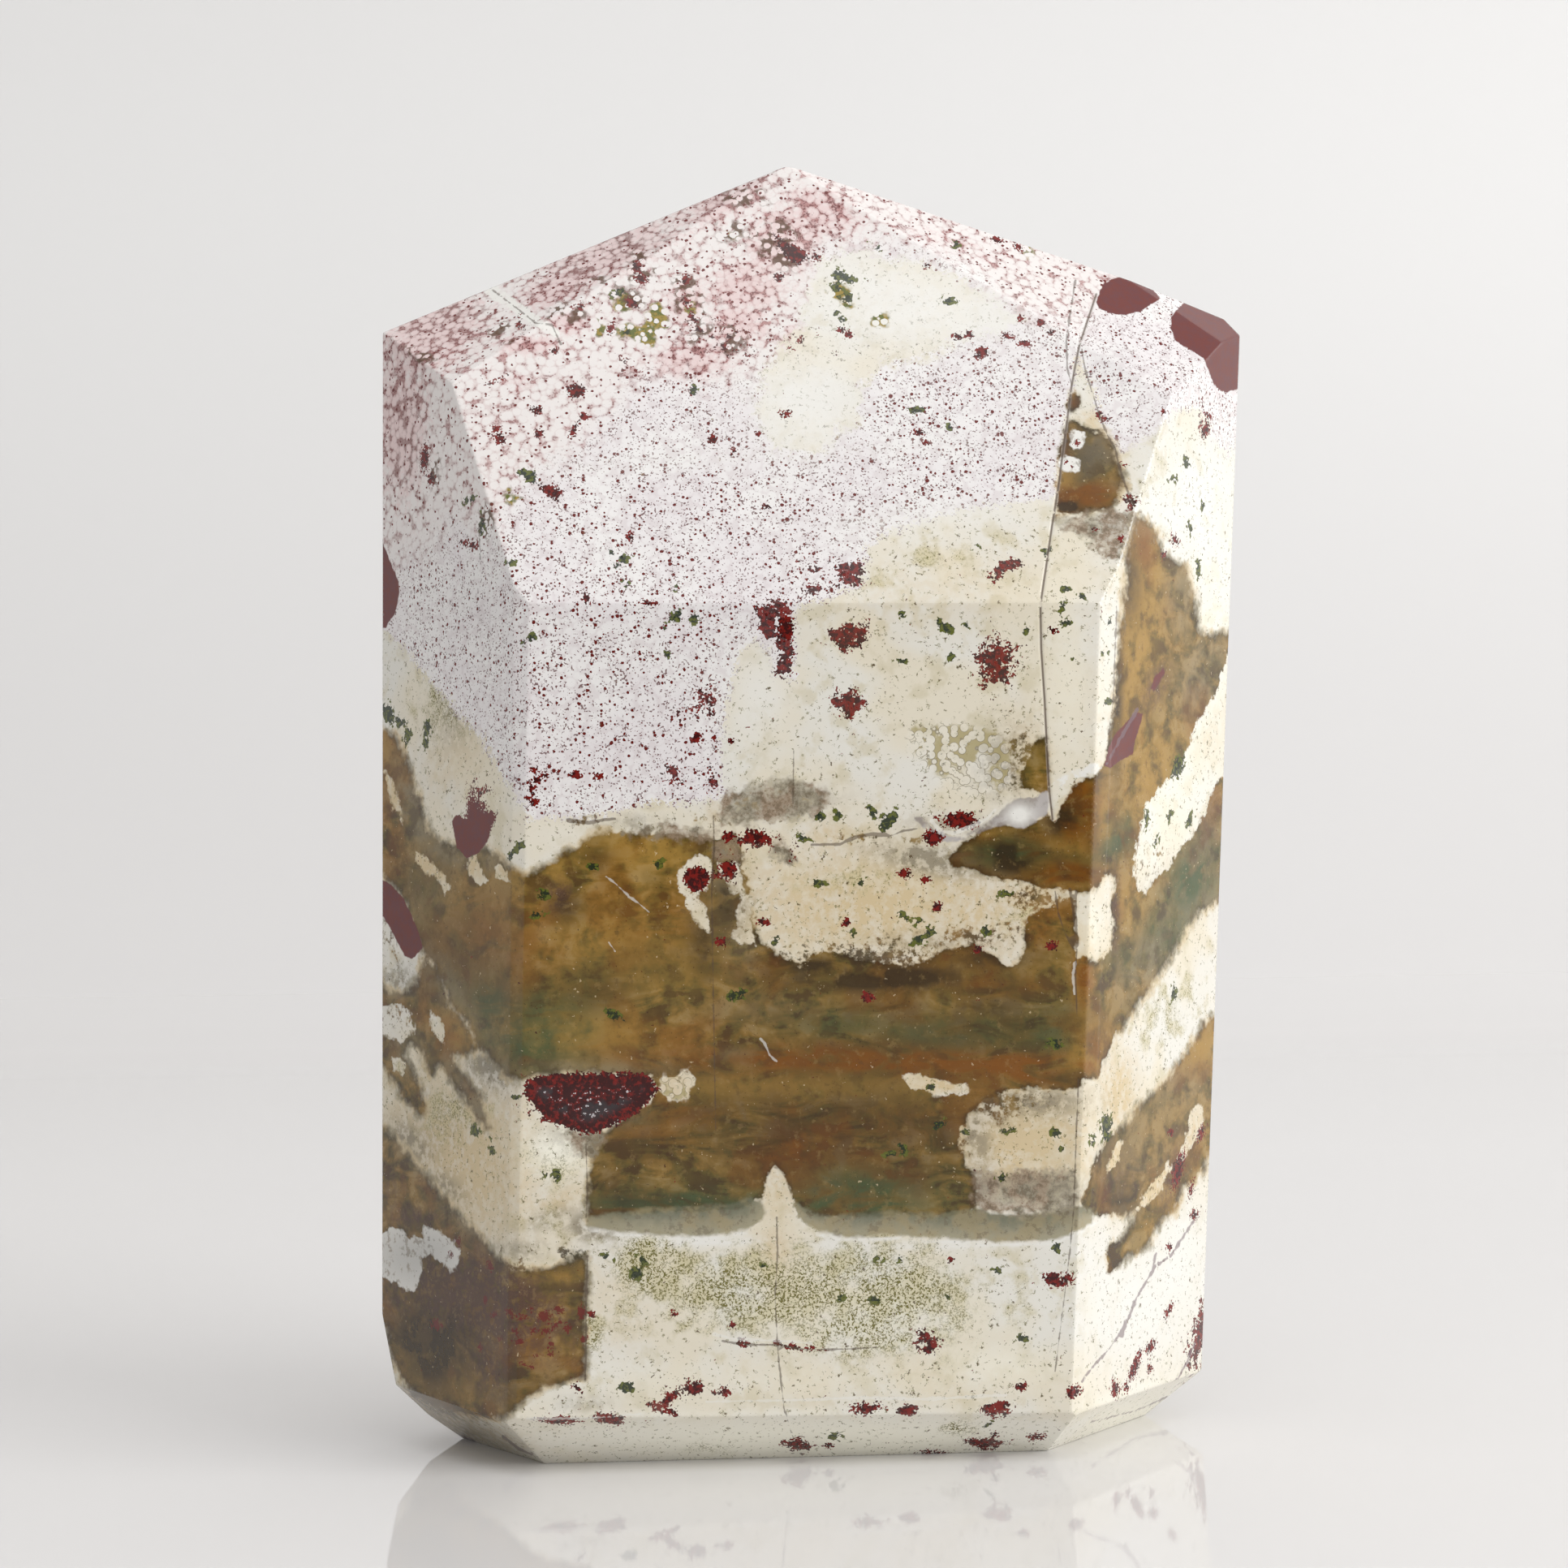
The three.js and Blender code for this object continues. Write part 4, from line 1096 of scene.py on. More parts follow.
def line_depth(places, lines):
    """How deep places lie inside the nearest of many thin lines, in millimetres."""
    depth = np.full(len(places), -FAR)
    for chain, start_width, end_width in lines:
        chain = np.array(chain, dtype=float)
        near = np.where(is_near(places, chain))[0]
        count = len(chain) - 1
        for i in range(count):
            distance, along = segment_distance(places[near], chain[i], chain[i + 1])
            width = start_width + (end_width - start_width) * (i + along) / count
            depth[near] = np.maximum(depth[near], width - distance)
    return depth / PIXELS_PER_MM


def smooth(value, low, high):
    part = np.clip((value - low) / (high - low), 0, 1)
    return part * part * (3 - 2 * part)


def pattern_places(points, normals, distances):
    """
    The place in the picture whose markings a point of the stone takes. For a point that the camera sees
    it is the point's own place. Behind, the layers go through the stone and rise toward the back, so it is
    where the point's layer comes out in front.
    """
    hidden = np.ones(len(points), dtype=bool)
    forward = np.full(len(points), np.inf)
    for n, d in zip(normals, distances):
        if is_seen(n, d):
            hidden &= np.abs(points @ n - d) >= 2 * ON_PLANE
            if abs(n[2]) < UPRIGHT_BELOW:
                forward = np.minimum(forward, (d - points @ n) / -n[1])
    slope = LAYER_SLOPE * smooth(points[:, 2], SLOPE_FROM, SLOPE_TO)
    amount = forward * smooth(points[:, 1] - RIDGE_PLACE, 0.0, TURN_DEPTH)
    moved = points.copy()
    moved[:, 1] -= amount
    moved[:, 2] -= amount * slope
    return picture_point(np.where(hidden[:, None], moved, points))


# The tables that each field comes from, by the way that it is measured.
FIELD_SOURCES = {
    outlines_depth: {
        "upper": UPPER, "pink_net": PINK_NET, "cloud": CREAM_CLOUD, "brown": BROWN, "rim": AGATE_RIM,
        "grey_agate": GREY_AGATE, "pale_agate": PALE_AGATE, "cream_over": CREAM_OVER, "white": WHITE,
        "honeycomb": HONEYCOMB, "red_jasper": RED_JASPER, "maroon": MAROON},
    ellipses_depth: {
        "maroon_spots": MAROON_ELLIPSES, "red_dots": RED_DOT_ELLIPSES, "green": GREEN_ELLIPSES,
        "olive": OLIVE_ELLIPSES, "gaps": GAP_ELLIPSES},
    tint: {
        "painted_light": PAINTED_LIGHT, "grains": GRAIN_ELLIPSES, "speckle": GREEN_SPECKLE, "warm": WARM_TINT,
        "gold": GOLD_TINT, "orange": ORANGE_TINT, "teal": TEAL_TINT, "grey": GREY_TINT, "plum": PLUM_TINT,
        "dark": DARK_TINT, "shade": PAINTED_SHADE_AND_DARKER_STONE, "milky_and_sheen": MILKY_AND_SHEEN, "mottled": MOTTLED, "dots": DOT_TINT,
        "pink": PINK_TINT, "netting": NETTING, "smoke": SMOKE},
    line_depth: {
        "rim_line": RIM_LINES, "dark_lines": DARK_LINES, "pale_lines_and_highlights": PALE_LINES_AND_HIGHLIGHTS, "vein": VEIN_LINES,
        "fissure": [(FISSURE, 0.0, 0.0)]}}
FIELD_NAMES = [name for tables in FIELD_SOURCES.values() for name in tables]


def marking_fields(places):
    fields = {}
    for measure, tables in FIELD_SOURCES.items():
        for name, table in tables.items():
            fields[name] = measure(places, table)
    fields["white"] = np.maximum(fields["white"], ellipses_depth(places, WHITE_ELLIPSES))
    fields["fissure"] = -fields["fissure"]
    return fields


def attribute_groups():
    """The mesh attributes that hold the fields, three to each: its name and theirs."""
    for first in range(0, len(FIELD_NAMES), 3):
        yield "marks_%d" % (first // 3), FIELD_NAMES[first:first + 3]


def store_fields(mesh, fields):
    for attribute, names in attribute_groups():
        values = np.stack([fields[n] for n in names], axis=1).astype(np.float32)
        mesh.attributes.new(attribute, "FLOAT_VECTOR", "POINT").data.foreach_set("vector", values.ravel())


# The stone's mesh

def groove(places, ways, crack):
    """Cuts the fissure as a shallow groove, and says which points lie near it."""
    depth = GROOVE_DEPTH * np.clip(1 - crack * MM / GROOVE_HALF_WIDTH, 0, 1)
    return places - ways * depth[:, None], crack * MM < GROOVE_REACH


def averaged_normals(places, triangles):
    corners = places[triangles]
    cross = np.cross(corners[:, 1] - corners[:, 0], corners[:, 2] - corners[:, 0])
    total = np.zeros_like(places)
    for i in range(3):
        np.add.at(total, triangles[:, i], cross)
    return total / np.maximum(np.linalg.norm(total, axis=1), NO_AREA)[:, None]


def make_skin(normals, distances, corners, loops):
    """The sharp solid as fine triangles, finer on the faces that the camera sees."""
    seen = [is_seen(n, d) for n, d in zip(normals, distances)]
    edge_steps = edge_fineness(loops, seen)
    pixels = mark_pixels()
    skin = Skin(corners)
    for normal, distance, loop, is_front in zip(normals, distances, loops, seen):
        marks = marks_on_face(pixels, normal, distance) if is_front else np.zeros((0, 3))
        skin_face(skin, normal, loop, FINE_STEP if is_front else COARSE_STEP, edge_steps, marks)
    return np.array(skin.points), np.array(skin.triangles)


def make_stone():
    normals, distances, corners, loops = solid_faces(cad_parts[NODE].data)
    points, triangles = make_skin(normals, distances, corners, loops)
    fields = marking_fields(pattern_places(points, normals, distances))
    places, ways = rounded(points, normals, distances)
    places, moved = groove(places, ways, fields["fissure"])
    ways[moved] = averaged_normals(places, triangles)[moved]
    mesh = bpy.data.meshes.new("jasper_stone")
    mesh.from_pydata(places.tolist(), [], triangles.tolist())
    mesh.update()
    mesh.shade_smooth()
    mesh.normals_split_custom_set_from_vertices(ways.tolist())
    store_fields(mesh, fields)
    stone = add_object("jasper_stone", mesh)
    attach(stone, "root")
    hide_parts(NODE)
    mesh.materials.append(stone_material())


# Materials

def linear(colour):
    """A screen colour, 0 to 255, as the light that a shader works with."""
    made = []
    for value in colour:
        part = value / 255
        bent = ((part + CURVE_SHIFT) / (1 + CURVE_SHIFT)) ** CURVE_POWER
        made.append(part / CURVE_START if part <= CURVE_KNEE else bent)
    return (*made, 1.0)


class Nodes:
    """Short ways to add and join shader nodes."""

    def __init__(self, owner):
        owner.use_nodes = True
        self.tree = owner.node_tree
        self.tree.nodes.clear()

    def add(self, kind, inputs, **settings):
        node = self.tree.nodes.new(kind)
        for name, value in settings.items():
            setattr(node, name, value)
        for key, value in inputs.items():
            if isinstance(value, bpy.types.NodeSocket):
                self.tree.links.new(value, node.inputs[key])
            else:
                node.inputs[key].default_value = value
        return node

    def math(self, operation, a, b=0.0, clamp=False):
        return self.add("ShaderNodeMath", {0: a, 1: b}, operation=operation, use_clamp=clamp).outputs[0]

    def plus(self, a, b):
        return self.math("ADD", a, b)

    def minus(self, a, b):
        return self.math("SUBTRACT", a, b)

    def times(self, a, b):
        return self.math("MULTIPLY", a, b)

    def share(self, a, b):
        """A product that is held between 0 and 1."""
        return self.math("MULTIPLY", a, b, clamp=True)

    def ramp(self, value, low, high, to_low=0.0, to_high=1.0):
        """A smooth step from to_low, below low, to to_high, above high."""
        inputs = {"Value": value, "From Min": low, "From Max": high, "To Min": to_low, "To Max": to_high}
        return self.add("ShaderNodeMapRange", inputs, interpolation_type="SMOOTHSTEP").outputs[0]

    def mix(self, mask, below, above):
        below, above = [linear(c) if isinstance(c, tuple) else c for c in (below, above)]
        inputs = {MIX_MASK: mask, MIX_BELOW: below, MIX_ABOVE: above}
        return self.add("ShaderNodeMix", inputs, data_type="RGBA").outputs[MIX_MADE]

    def cover(self, colour, strength, mask, above):
        """Lays a colour over another where a mask says so, at a strength of 0 to 1."""
        return self.mix(self.times(mask, strength), colour, above)

    def bands(self, value, stops):
        """A run of colours, each given with the value at which it stands."""
        node = self.add("ShaderNodeValToRGB", {"Fac": value})
        ramp = node.color_ramp
        while len(ramp.elements) < len(stops):
            ramp.elements.new(1.0)
        for element, (position, colour) in zip(ramp.elements, stops):
            element.position = position
            element.color = linear(colour)
        return node.outputs["Color"]

    def noise(self, where, scale, detail, rough=0.5, warp=0.0):
        inputs = {"Vector": where, "Scale": scale, "Detail": detail, "Roughness": rough, "Distortion": warp}
        return self.add("ShaderNodeTexNoise", inputs, noise_dimensions="3D").outputs[0]

    def cells(self, where, scale):
        inputs = {"Vector": where, "Scale": scale}
        return self.add("ShaderNodeTexVoronoi", inputs, feature="F1", voronoi_dimensions="3D").outputs

    def split(self, vector):
        return self.add("ShaderNodeSeparateXYZ", {0: vector}).outputs

    def scaled(self, vector, factors):
        return self.add("ShaderNodeVectorMath", {0: vector, 1: factors}, operation="MULTIPLY").outputs[0]

    def moved(self, vector, by):
        return self.add("ShaderNodeVectorMath", {0: vector, 1: by}, operation="ADD").outputs[0]

    def finish(self, colour, roughness, ior):
        """Ends the tree in a surface that reflects light."""
        inputs = {"Base Color": colour, "Roughness": roughness, "IOR": ior}
        surface = self.add("ShaderNodeBsdfPrincipled", inputs).outputs[0]
        self.add("ShaderNodeOutputMaterial", {"Surface": surface})


class StoneNodes(Nodes):
    """The stone's shader nodes, with its fields and the noises that its markings share."""

    def __init__(self, owner):
        super().__init__(owner)
        place = self.add("ShaderNodeTexCoord", {}).outputs["Object"]
        where = self.scaled(place, (1 / MM, 1 / MM, 1 / MM))
        self.across = self.split(where)["X"]
        self.fields = {}
        for attribute, names in attribute_groups():
            source = self.add("ShaderNodeAttribute", {}, attribute_type="GEOMETRY", attribute_name=attribute)
            self.fields.update(zip(names, self.split(source.outputs["Vector"])))

        # Each noise is 0.5 on average, and is finer the larger its scale is.
        self.cloud = self.noise(where, scale=0.16, detail=2.0, rough=0.6)
        self.patch = self.noise(self.moved(where, (5.0, 8.0, 2.0)), scale=0.45, detail=4.0, rough=0.54)
        self.fine = self.noise(where, scale=1.25, detail=4.0, rough=0.66)
        self.ragged = self.noise(self.moved(where, (3.0, 9.0, 5.0)), scale=2.5, detail=2.0, rough=0.6)
        self.grit = self.noise(self.moved(where, (6.0, 1.0, 4.0)), scale=5.4, detail=1.0)
        layered = self.scaled(where, (0.40, 0.55, 1.0))
        self.layer = self.noise(layered, scale=0.44, detail=4.0, rough=0.56, warp=1.4)
        border = self.noise(self.moved(where, (2.0, 7.0, 8.0)), scale=1.3, detail=2.0, rough=0.55)
        self.orbs = self.cells(where, 1.5)["Distance"]
        dots = self.cells(self.moved(where, (1.0, 6.0, 3.0)), 2.8)
        self.dots = dots["Distance"]
        self.chance = self.split(dots["Color"])[0]

        # The same kind of noise, but 0 on average, to move the edges of the markings to and fro.
        self.broad_wave = self.minus(self.noise(where, scale=0.75, detail=1.0), 0.5)
        self.border_wave = self.minus(border, 0.5)
        self.ragged_wave = self.minus(self.ragged, 0.5)
        self.grit_wave = self.minus(self.grit, 0.5)

    def inside(self, name, soft, broad, border, ragged=0.0, grit=0.0, reach=0.0, spread=None):
        """
        1 inside a marking and 0 outside. Soft is half the width of the edge, in millimetres. Broad, border,
        ragged and grit say how much each wave moves the edge, and reach moves it outward. Spread is a
        factor that makes all of it softer.
        """
        wobble = self.plus(self.times(self.broad_wave, broad), self.times(self.border_wave, border))
        for wave, part in ((self.ragged_wave, ragged), (self.grit_wave, grit)):
            if part:
                wobble = self.plus(wobble, self.times(wave, part))
        depth = self.plus(self.fields[name], self.plus(wobble, reach))
        if spread:
            depth = self.math("DIVIDE", depth, spread)
        return self.ramp(depth, -soft, soft)


def round_dots(stone, ground, chance_from):
    """Scattered round maroon dots of many sizes, most of them small."""
    size = stone.ramp(stone.chance, chance_from, 1.0)
    size = stone.times(stone.times(size, size), stone.ramp(stone.fine, 0.46, 0.66, DOT_SIZE, DOT_SIZE * 1.6))
    edge = stone.minus(stone.plus(stone.dots, stone.times(stone.grit, 0.4)), size)
    return stone.mix(stone.ramp(edge, 0.16, 0.22, 1.0, 0.0), ground, DOT_MAROON)


def packed_orbs(stone):
    """Small white orbs packed together, with pink and maroon jasper in the gaps between them."""
    netting = stone.fields["netting"]
    rich = stone.ramp(stone.plus(stone.fields["pink"], stone.times(stone.fine, 1.5)), 0.95, 1.55)
    rough = stone.plus(stone.times(stone.ragged, 0.30), stone.times(stone.grit, 0.20))
    reach = stone.plus(stone.orbs, rough)
    reach = stone.plus(reach, stone.plus(stone.times(rich, 0.10), stone.times(netting, -0.02)))
    gap = stone.ramp(reach, 0.93, 1.02)
    broken = stone.ramp(stone.fine, 0.44, 0.56, 0.2, 0.65)
    filled = stone.plus(stone.times(rich, 0.4), stone.times(netting, 0.1))
    strength = stone.math("ADD", broken, filled, clamp=True)
    between = stone.mix(netting, NET_PINK, NET_GREY)
    colour = stone.mix(rich, ORB_WHITE, PINK_GROUND)
    soft_edge = stone.ramp(reach, 0.70, 0.94, 0.0, stone.ramp(rich, 0.0, 1.0, 0.26, 0.40))
    colour = stone.mix(soft_edge, colour, between)
    colour = stone.mix(stone.times(gap, strength), colour, between)
    deep = stone.times(gap, stone.ramp(stone.grit, 0.48, 0.58))
    deep = stone.times(deep, stone.ramp(netting, 0.0, 1.0, 1.0, 0.3))
    colour = stone.mix(stone.times(deep, stone.ramp(rich, 0.0, 1.0, 0.5, 0.85)), colour, NET_DARK)
    return round_dots(stone, colour, 0.45)


def speckled_field(stone):
    """A pale lilac ground full of fine dark specks and scattered maroon dots."""
    ground = stone.mix(stone.ramp(stone.cloud, 0.38, 0.62), FIELD_WHITE, FIELD_LILAC)
    ground = stone.mix(stone.ramp(stone.orbs, 0.45, 0.75, 0.0, 0.4), ground, FIELD_SHADE)
    crowd = stone.plus(stone.grit, stone.times(stone.fine, 0.5))
    colour = stone.mix(stone.ramp(crowd, 0.87, 0.91, 0.0, 0.85), ground, SPECK)
    return round_dots(stone, colour, stone.ramp(stone.fields["dots"], 0.0, 1.0, 0.40, -0.1))


def curls(stone, line_noise, place_noise, width, low, high):
    """Short thin curls, where a thin line of one noise meets the high places of another."""
    line = stone.math("ABSOLUTE", stone.minus(line_noise, 0.5))
    return stone.times(stone.ramp(line, width * 0.5, width, 1.0, 0.0), stone.ramp(place_noise, low, high))


def cream_ground(stone):
    """Cream with soft clouds, small olive curls and flecks, a fine green lace in places, milky patches,
    painted sheen on the right face and painted light on the bevels.
    """
    speckle, fine = stone.fields["speckle"], stone.fine
    colour = stone.mix(stone.ramp(stone.cloud, 0.38, 0.62), CREAM, CREAM_PALE)
    colour = stone.mix(stone.ramp(stone.patch, 0.50, 0.66, 0.0, 0.6), colour, CREAM_SHADE)
    # Milky patches, with painted sheen on the right face and painted light on the foot's bevel.
    colour = stone.mix(stone.share(stone.fields["milky_and_sheen"], 0.9), colour, MILK)
    warm = stone.share(stone.fields["warm"], stone.ramp(fine, 0.32, 0.64, 0.5, 1.15))
    colour = stone.mix(warm, colour, CREAM_WARM)
    crowd = stone.plus(speckle, stone.times(stone.minus(stone.patch, 0.5), 2.2))
    green = stone.plus(stone.times(crowd, 0.55), stone.times(fine, 0.6))
    colour = stone.mix(stone.ramp(green, 0.45, 0.95, 0.0, 0.62), colour, CREAM_GREEN)
    # Painted light: near-white on the foot's bevels, low on the front and in strips toward the right.
    colour = stone.mix(stone.share(stone.fields["painted_light"], 0.95), colour, PAINTED_LIGHT_WHITE)
    lace_place = stone.times(stone.ramp(stone.plus(crowd, fine), 0.80, 1.40), speckle)
    lace = stone.times(curls(stone, stone.ragged, stone.grit, 0.08, 0.40, 0.54), lace_place)
    colour = stone.mix(stone.share(lace, 1.2), colour, FLECK_GREEN)
    level = stone.plus(stone.ramp(crowd, 0.0, 1.0, 0.80, 0.69), stone.ramp(fine, 0.42, 0.58, 0.14, -0.03))
    specks = stone.ramp(stone.minus(stone.grit, level), -0.02, 0.03, 0.0, 0.95)
    colour = stone.mix(specks, colour, FLECK_GREEN)
    few_curls = curls(stone, fine, stone.ragged, 0.03, 0.56, 0.62)
    colour = stone.mix(stone.times(few_curls, 0.7), colour, FLECK_GREEN)
    smoke = stone.share(stone.fields["smoke"], stone.ramp(fine, 0.36, 0.60, 0.3, 1.3))
    colour = stone.mix(stone.times(smoke, 0.85), colour, SMOKE_GREY)
    return stone.mix(stone.ramp(stone.ragged, 0.685, 0.72, 0.0, 0.85), colour, FLECK_DARK)


def brown_ground(stone):
    """Clouded brown chalcedony with its golden, orange, teal, grey and plum parts."""
    flow = stone.plus(stone.times(stone.patch, 0.52), stone.times(stone.layer, 0.48))
    colour = stone.bands(flow, BROWN_BANDS)
    colour = stone.mix(stone.ramp(stone.cloud, 0.52, 0.62, 0.0, 0.45), colour, ORANGE)
    colour = stone.mix(stone.ramp(stone.cloud, 0.38, 0.46, 0.4, 0.0), colour, OLIVE)
    causes = {"grey": (GREY, stone.patch), "teal": (TEAL, stone.layer), "gold": (GOLD, stone.patch),
              "orange": (ORANGE, stone.layer), "plum": (PLUM, stone.fine), "dark": (DARK, stone.patch)}
    for name, (shade, cause) in causes.items():
        amount = stone.share(stone.fields[name], stone.ramp(cause, 0.36, 0.60, 0.35, 1.25))
        colour = stone.cover(colour, 0.9, amount, shade)
    colour = stone.mix(stone.ramp(stone.fine, 0.56, 0.70, 0.0, 0.25), colour, BROWN_PALE)
    colour = stone.mix(stone.ramp(stone.fine, 0.30, 0.44, 0.4, 0.0), colour, BROWN_DARK)
    colour = stone.mix(stone.ramp(stone.ragged, 0.70, 0.74, 0.0, 0.6), colour, CREAM_WARM)
    return stone.mix(stone.ramp(stone.grit, 0.70, 0.76, 0.0, 0.5), colour, DARK)


def honeycomb(stone, cream):
    """Pale orbs, each inside a thin olive ring, with olive between some of them."""
    from_ring = stone.math("ABSOLUTE", stone.minus(stone.orbs, 0.58))
    ring = stone.ramp(from_ring, 0.015, 0.05, 0.65, 0.0)
    between = stone.times(stone.ramp(stone.orbs, 0.58, 0.63), stone.ramp(stone.patch, 0.45, 0.55, 0.1, 0.8))
    return stone.mix(ring, stone.mix(between, stone.mix(0.2, cream, MILK), HONEY), OLIVE)


def speckled_red(stone):
    """Dark red jasper made of grains, with grey parts and a few white grains."""
    depth = stone.fields["maroon"]
    red = stone.mix(stone.ramp(stone.ragged, 0.46, 0.66), MAROON_DEEP, MAROON_RED)
    steel = stone.times(stone.ramp(depth, 0.6, 1.5), stone.ramp(stone.patch, 0.48, 0.56, 0.1, 0.85))
    red = stone.mix(steel, red, STEEL)
    flakes = stone.plus(stone.times(stone.ragged, 0.6), stone.times(stone.grit, 0.4))
    white = stone.times(stone.ramp(depth, 0.9, 1.4), stone.ramp(flakes, 0.595, 0.62, 0.0, 0.9))
    return stone.mix(white, red, PALE_GREY)


def with_upper(stone, colour, cream):
    """Adds the lilac top of the stone, with its packed orbs and its cream cloud."""
    field = speckled_field(stone)
    field = stone.mix(stone.inside("pink_net", soft=1.8, broad=3.0, border=2.0), field, packed_orbs(stone))
    cloud = stone.inside("cloud", soft=0.5, broad=2.4, border=1.5, ragged=1.5, grit=1.5)
    field = stone.cover(field, 0.92, cloud, cream)
    # Milky patches, with painted sheen toward the right face.
    milk_and_sheen = stone.share(stone.fields["milky_and_sheen"], stone.ramp(stone.fine, 0.38, 0.6, 0.3, 1.0))
    field = stone.mix(milk_and_sheen, field, MILK)
    upper = stone.inside("upper", soft=0.25, broad=0.6, border=1.0, ragged=1.6, grit=1.6)
    return stone.mix(upper, colour, field)


def with_brown(stone, colour, cream):
    """
    Adds the brown layers, tan beside their edges and dark just inside them. The edges are softer on the
    side faces. Cream islands lie over the brown.
    """
    tan = stone.mix(stone.ramp(stone.patch, 0.42, 0.58), EDGE_GREY, CREAM_WARM)
    from_middle = stone.math("ABSOLUTE", stone.minus(stone.across, FRONT_MIDDLE))
    halo = stone.ramp(from_middle, TURN_FROM, TURN_TO, *HALO_WIDTHS)
    spread = stone.ramp(from_middle, TURN_FROM, TURN_TO, *EDGE_SPREADS)
    beside_edge = stone.inside("brown", soft=0.26, broad=0.8, border=1.0, ragged=0.4, reach=halo)
    colour = stone.cover(colour, 0.75, beside_edge, tan)
    brown = brown_ground(stone)
    dark_edge = stone.mix(stone.ramp(stone.patch, 0.46, 0.60, 0.6, 0.1), brown, DARK)
    brown = stone.mix(stone.inside("brown", soft=0.30, broad=0.5, border=0.9, reach=-0.30), dark_edge, brown)
    layers = stone.inside("brown", soft=0.12, broad=0.7, border=0.8, ragged=0.35, spread=spread)
    colour = stone.mix(layers, colour, brown)
    mottle = stone.plus(stone.times(stone.fine, 0.6), stone.times(stone.ragged, 0.4))
    mottle = stone.plus(mottle, stone.times(stone.fields["mottled"], 0.24))
    mottled = stone.ramp(mottle, 0.63, 0.75, 0.0, 0.9)
    colour = with_agates(stone, stone.mix(mottled, colour, brown))
    islands = stone.inside("cream_over", soft=0.10, broad=0.6, border=0.8, ragged=0.4)
    return stone.mix(islands, colour, stone.mix(mottled, cream, brown))


def with_agates(stone, colour):
    """Adds the grey rim under the brown and the mauve and grey patches beside it."""
    rim_place = stone.plus(stone.fields["rim_line"], stone.border_wave)
    rim = stone.mix(stone.ramp(rim_place, -2.0, -0.2), RIM_DEEP, RIM_GREY)
    rim = stone.mix(stone.ramp(stone.patch, 0.44, 0.62, 0.0, 0.5), rim, RIM_WARM)
    rim = stone.mix(stone.ramp(stone.fine, 0.36, 0.46, 0.45, 0.0), rim, FLECK_DARK)
    colour = stone.cover(colour, 0.92, stone.inside("rim", soft=0.2, broad=0.4, border=0.6), rim)
    mauve = stone.mix(stone.ramp(stone.patch, 0.44, 0.56), MAUVE, SMOKE_GREY)
    mauve = stone.mix(stone.ramp(stone.fine, 0.38, 0.46, 0.5, 0.0), mauve, FLECK_DARK)
    mauve = stone.mix(stone.ramp(stone.fine, 0.54, 0.64, 0.0, 0.35), mauve, CREAM_SHADE)
    strength = stone.ramp(stone.fine, 0.44, 0.58, 0.95, 0.6)
    grey = stone.inside("grey_agate", soft=0.35, broad=1.0, border=2.0, reach=0.2)
    return stone.cover(colour, strength, grey, mauve)


def with_pale_patches(stone, colour, cream):
    """Adds the honeycomb, the pale agate and the white patches."""
    net = stone.inside("honeycomb", soft=0.4, broad=1.2, border=1.6)
    colour = stone.mix(net, colour, honeycomb(stone, cream))
    pale = stone.mix(stone.ramp(stone.patch, 0.44, 0.56), AGATE_GREY, AGATE_PALE)
    pale = stone.mix(stone.share(stone.fields["milky_and_sheen"], 1.1), pale, MILK)
    colour = stone.cover(colour, 0.9, stone.inside("pale_agate", soft=0.12, broad=0.3, border=0.6), pale)
    strength = stone.ramp(stone.fine, 0.38, 0.48, 0.5, 0.95)
    return stone.cover(colour, strength, stone.inside("white", soft=0.10, broad=0.4, border=0.8), MILK)


def with_spots(stone, colour):
    """Adds the olive and brown gaps between orbs, and the red and green spots."""
    gaps = stone.ramp(stone.plus(stone.orbs, stone.times(stone.ragged, 0.3)), 0.56, 0.64)
    olive = stone.mix(stone.ramp(stone.ragged_wave, -0.1, 0.1), OLIVE_YELLOW, GREEN)
    olive_gaps = stone.times(stone.inside("olive", soft=0.2, broad=0.6, border=1.2), gaps)
    colour = stone.mix(olive_gaps, colour, olive)
    brown_gaps = stone.times(stone.inside("gaps", soft=0.3, broad=0.6, border=1.4), gaps)
    brown_gaps = stone.times(brown_gaps, stone.ramp(stone.patch, 0.44, 0.52))
    colour = stone.cover(colour, 0.9, brown_gaps, GAP_BROWN)
    patches = stone.inside("maroon", soft=0.04, broad=0.3, border=0.6, ragged=0.6, grit=0.9)
    colour = stone.mix(patches, colour, speckled_red(stone))
    red = stone.mix(stone.ramp(stone.ragged, 0.42, 0.60), MAROON_DEEP, MAROON_RED)
    crowd = stone.plus(stone.fields["grains"], stone.times(stone.border_wave, 1.6))
    level = stone.ramp(crowd, 0.12, 0.85, 0.80, 0.28)
    colour = stone.cover(colour, 0.95, stone.ramp(stone.minus(stone.grit, level), 0.0, 0.03), red)
    spots = stone.inside("maroon_spots", soft=0.03, broad=0.0, border=0.4, ragged=0.4, grit=0.9)
    colour = stone.mix(spots, colour, red)
    dots = stone.inside("red_dots", soft=0.05, broad=0.0, border=0.3, ragged=0.4, grit=0.8, reach=-0.04)
    colour = stone.cover(colour, 0.85, dots, BLOOD_DOT)
    jasper = stone.mix(stone.ramp(stone.fine, 0.40, 0.60), JASPER_RED, JASPER_PLUM)
    crumbly = stone.times(stone.fields["grains"], 4.0)
    bands = stone.inside("red_jasper", soft=0.05, broad=0.15, border=0.25, grit=crumbly)
    colour = stone.mix(bands, colour, jasper)
    green = stone.mix(stone.ramp(stone.ragged_wave, -0.02, 0.12), GREEN_DARK, GREEN)
    flecks = stone.inside("green", soft=0.04, broad=0.0, border=0.9, ragged=1.1)
    return stone.cover(colour, 0.95, flecks, green)


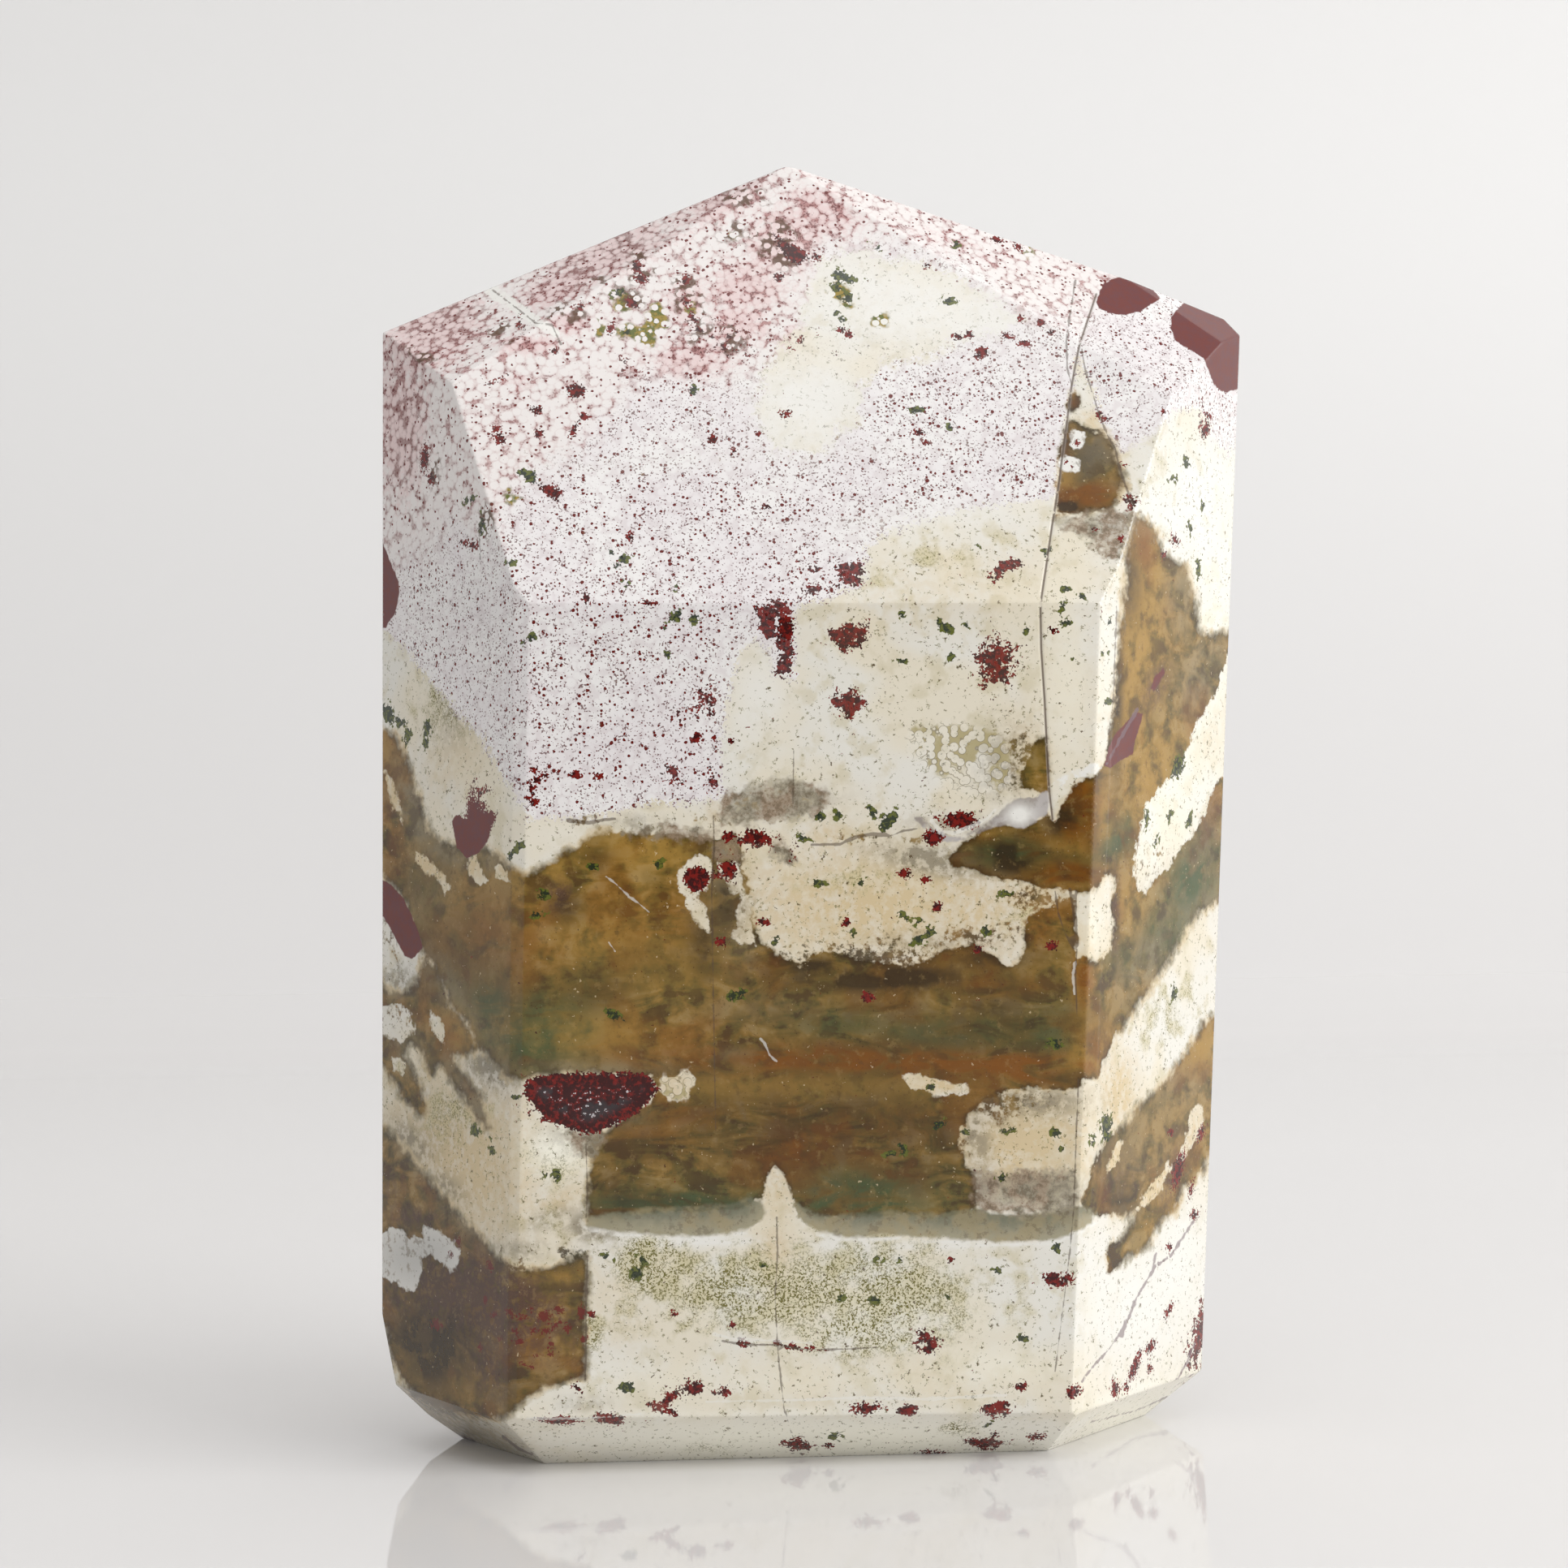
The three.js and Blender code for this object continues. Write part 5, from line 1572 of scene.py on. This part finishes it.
def with_lines(stone, colour):
    """Adds the thin veins and lines, among them painted highlights, the fissure, and the painted shade."""
    vein = stone.inside("vein", soft=0.05, broad=0.0, border=0.4)
    colour = stone.cover(colour, 0.7, vein, VEIN_GREY)
    # Pale lines and scratches, and painted highlights along an edge and a crack.
    pale_lines_and_highlights = stone.inside("pale_lines_and_highlights", soft=0.04, broad=0.0, border=0.4)
    colour = stone.cover(colour, 0.5, pale_lines_and_highlights, MILK)
    dark_lines = stone.inside("dark_lines", soft=0.04, broad=0.0, border=0.3)
    colour = stone.cover(colour, 0.65, dark_lines, CRACK_DARK)
    fissure = stone.fields["fissure"]
    colour = stone.mix(stone.ramp(fissure, 0.08, 0.18, 0.45, 0.0), colour, CRACK_GREY)
    colour = stone.mix(stone.ramp(fissure, 0.04, 0.11, 0.75, 0.0), colour, CRACK_DARK)
    # Painted shade: the colour is darkened where the faces get less light, and at a few spots of darker
    # stone.
    light = stone.ramp(stone.fields["shade"], 0.0, 1.0, 1.0, 0.62)
    return stone.scaled(colour, stone.add("ShaderNodeCombineXYZ", {0: light, 1: light, 2: light}).outputs[0])


def stone_material():
    material = bpy.data.materials.new("polished_jasper")
    stone = StoneNodes(material)
    cream = cream_ground(stone)
    rim_line = stone.inside("rim_line", soft=0.16, broad=0.2, border=0.3)
    colour = stone.cover(cream, 0.9, rim_line, MILK)
    colour = with_upper(stone, colour, cream)
    colour = with_brown(stone, colour, cream)
    colour = with_pale_patches(stone, colour, cream)
    colour = with_lines(stone, with_spots(stone, colour))
    stone.finish(colour, stone.ramp(stone.patch, 0.3, 0.7, *STONE_ROUGHNESS), STONE_IOR)
    return material


# The studio

def table_material():
    material = bpy.data.materials.new("pale_table")
    nodes = Nodes(material)
    height = nodes.split(nodes.add("ShaderNodeTexCoord", {}).outputs["Object"])["Z"]
    colour = nodes.mix(nodes.ramp(height, WALL_FROM, WALL_TO), FLOOR_COLOUR, WALL_COLOUR)
    nodes.finish(colour, nodes.ramp(height, 0.0, WALL_FROM, FLOOR_ROUGHNESS, WALL_ROUGHNESS), TABLE_IOR)
    return material


def make_table():
    """A pale glossy sheet that lies flat under the stone and sweeps up behind it."""
    profile = [(TABLE_FRONT, 0.0), (TABLE_BACK, 0.0)]
    for i in range(1, SWEEP_STEPS + 1):
        angle = math.pi / 2 * i / SWEEP_STEPS
        profile.append((TABLE_BACK + SWEEP_RADIUS * math.sin(angle), SWEEP_RADIUS * (1 - math.cos(angle))))
    profile.append((TABLE_BACK + SWEEP_RADIUS, WALL_TOP))
    points = [(side * HALF_WIDTH, y, z) for y, z in profile for side in (-1, 1)]
    faces = [(2 * i, 2 * i + 1, 2 * i + 3, 2 * i + 2) for i in range(len(profile) - 1)]
    mesh = bpy.data.meshes.new("table_sweep")
    mesh.from_pydata(points, [], faces)
    mesh.shade_smooth()
    mesh.materials.append(table_material())
    table = add_object("table_sweep", mesh)


def add_area_light(name, place, target, size, power, colour):
    data = bpy.data.lights.new(name, "AREA")
    data.shape = "RECTANGLE"
    data.size, data.size_y = size
    data.energy = power
    data.color = colour
    light = add_object(name, data)
    light.location = place
    light.rotation_euler = (Vector(target) - Vector(place)).to_track_quat("-Z", "Y").to_euler()


def make_room():
    """Soft light from all round, but for a dark part of the room in front of the stone."""
    world = bpy.data.worlds.new("studio")
    nodes = Nodes(world)
    way = nodes.add("ShaderNodeTexCoord", {}).outputs["Generated"]
    facing = nodes.add("ShaderNodeVectorMath", {0: way, 1: DARK_WAY}, operation="DOT_PRODUCT")
    strength = nodes.ramp(facing.outputs["Value"], DARK_FROM, DARK_TO, ROOM_LIGHT, DARK_LIGHT)
    background = nodes.add("ShaderNodeBackground", {"Color": ROOM_COLOUR, "Strength": strength})
    nodes.add("ShaderNodeOutputWorld", {"Surface": background.outputs[0]})
    bpy.context.scene.world = world


def main():
    add_camera()
    make_stone()
    make_table()
    for light in LIGHTS:
        add_area_light(*light)
    make_room()
    bpy.context.scene.view_settings.view_transform = "Standard"


main()
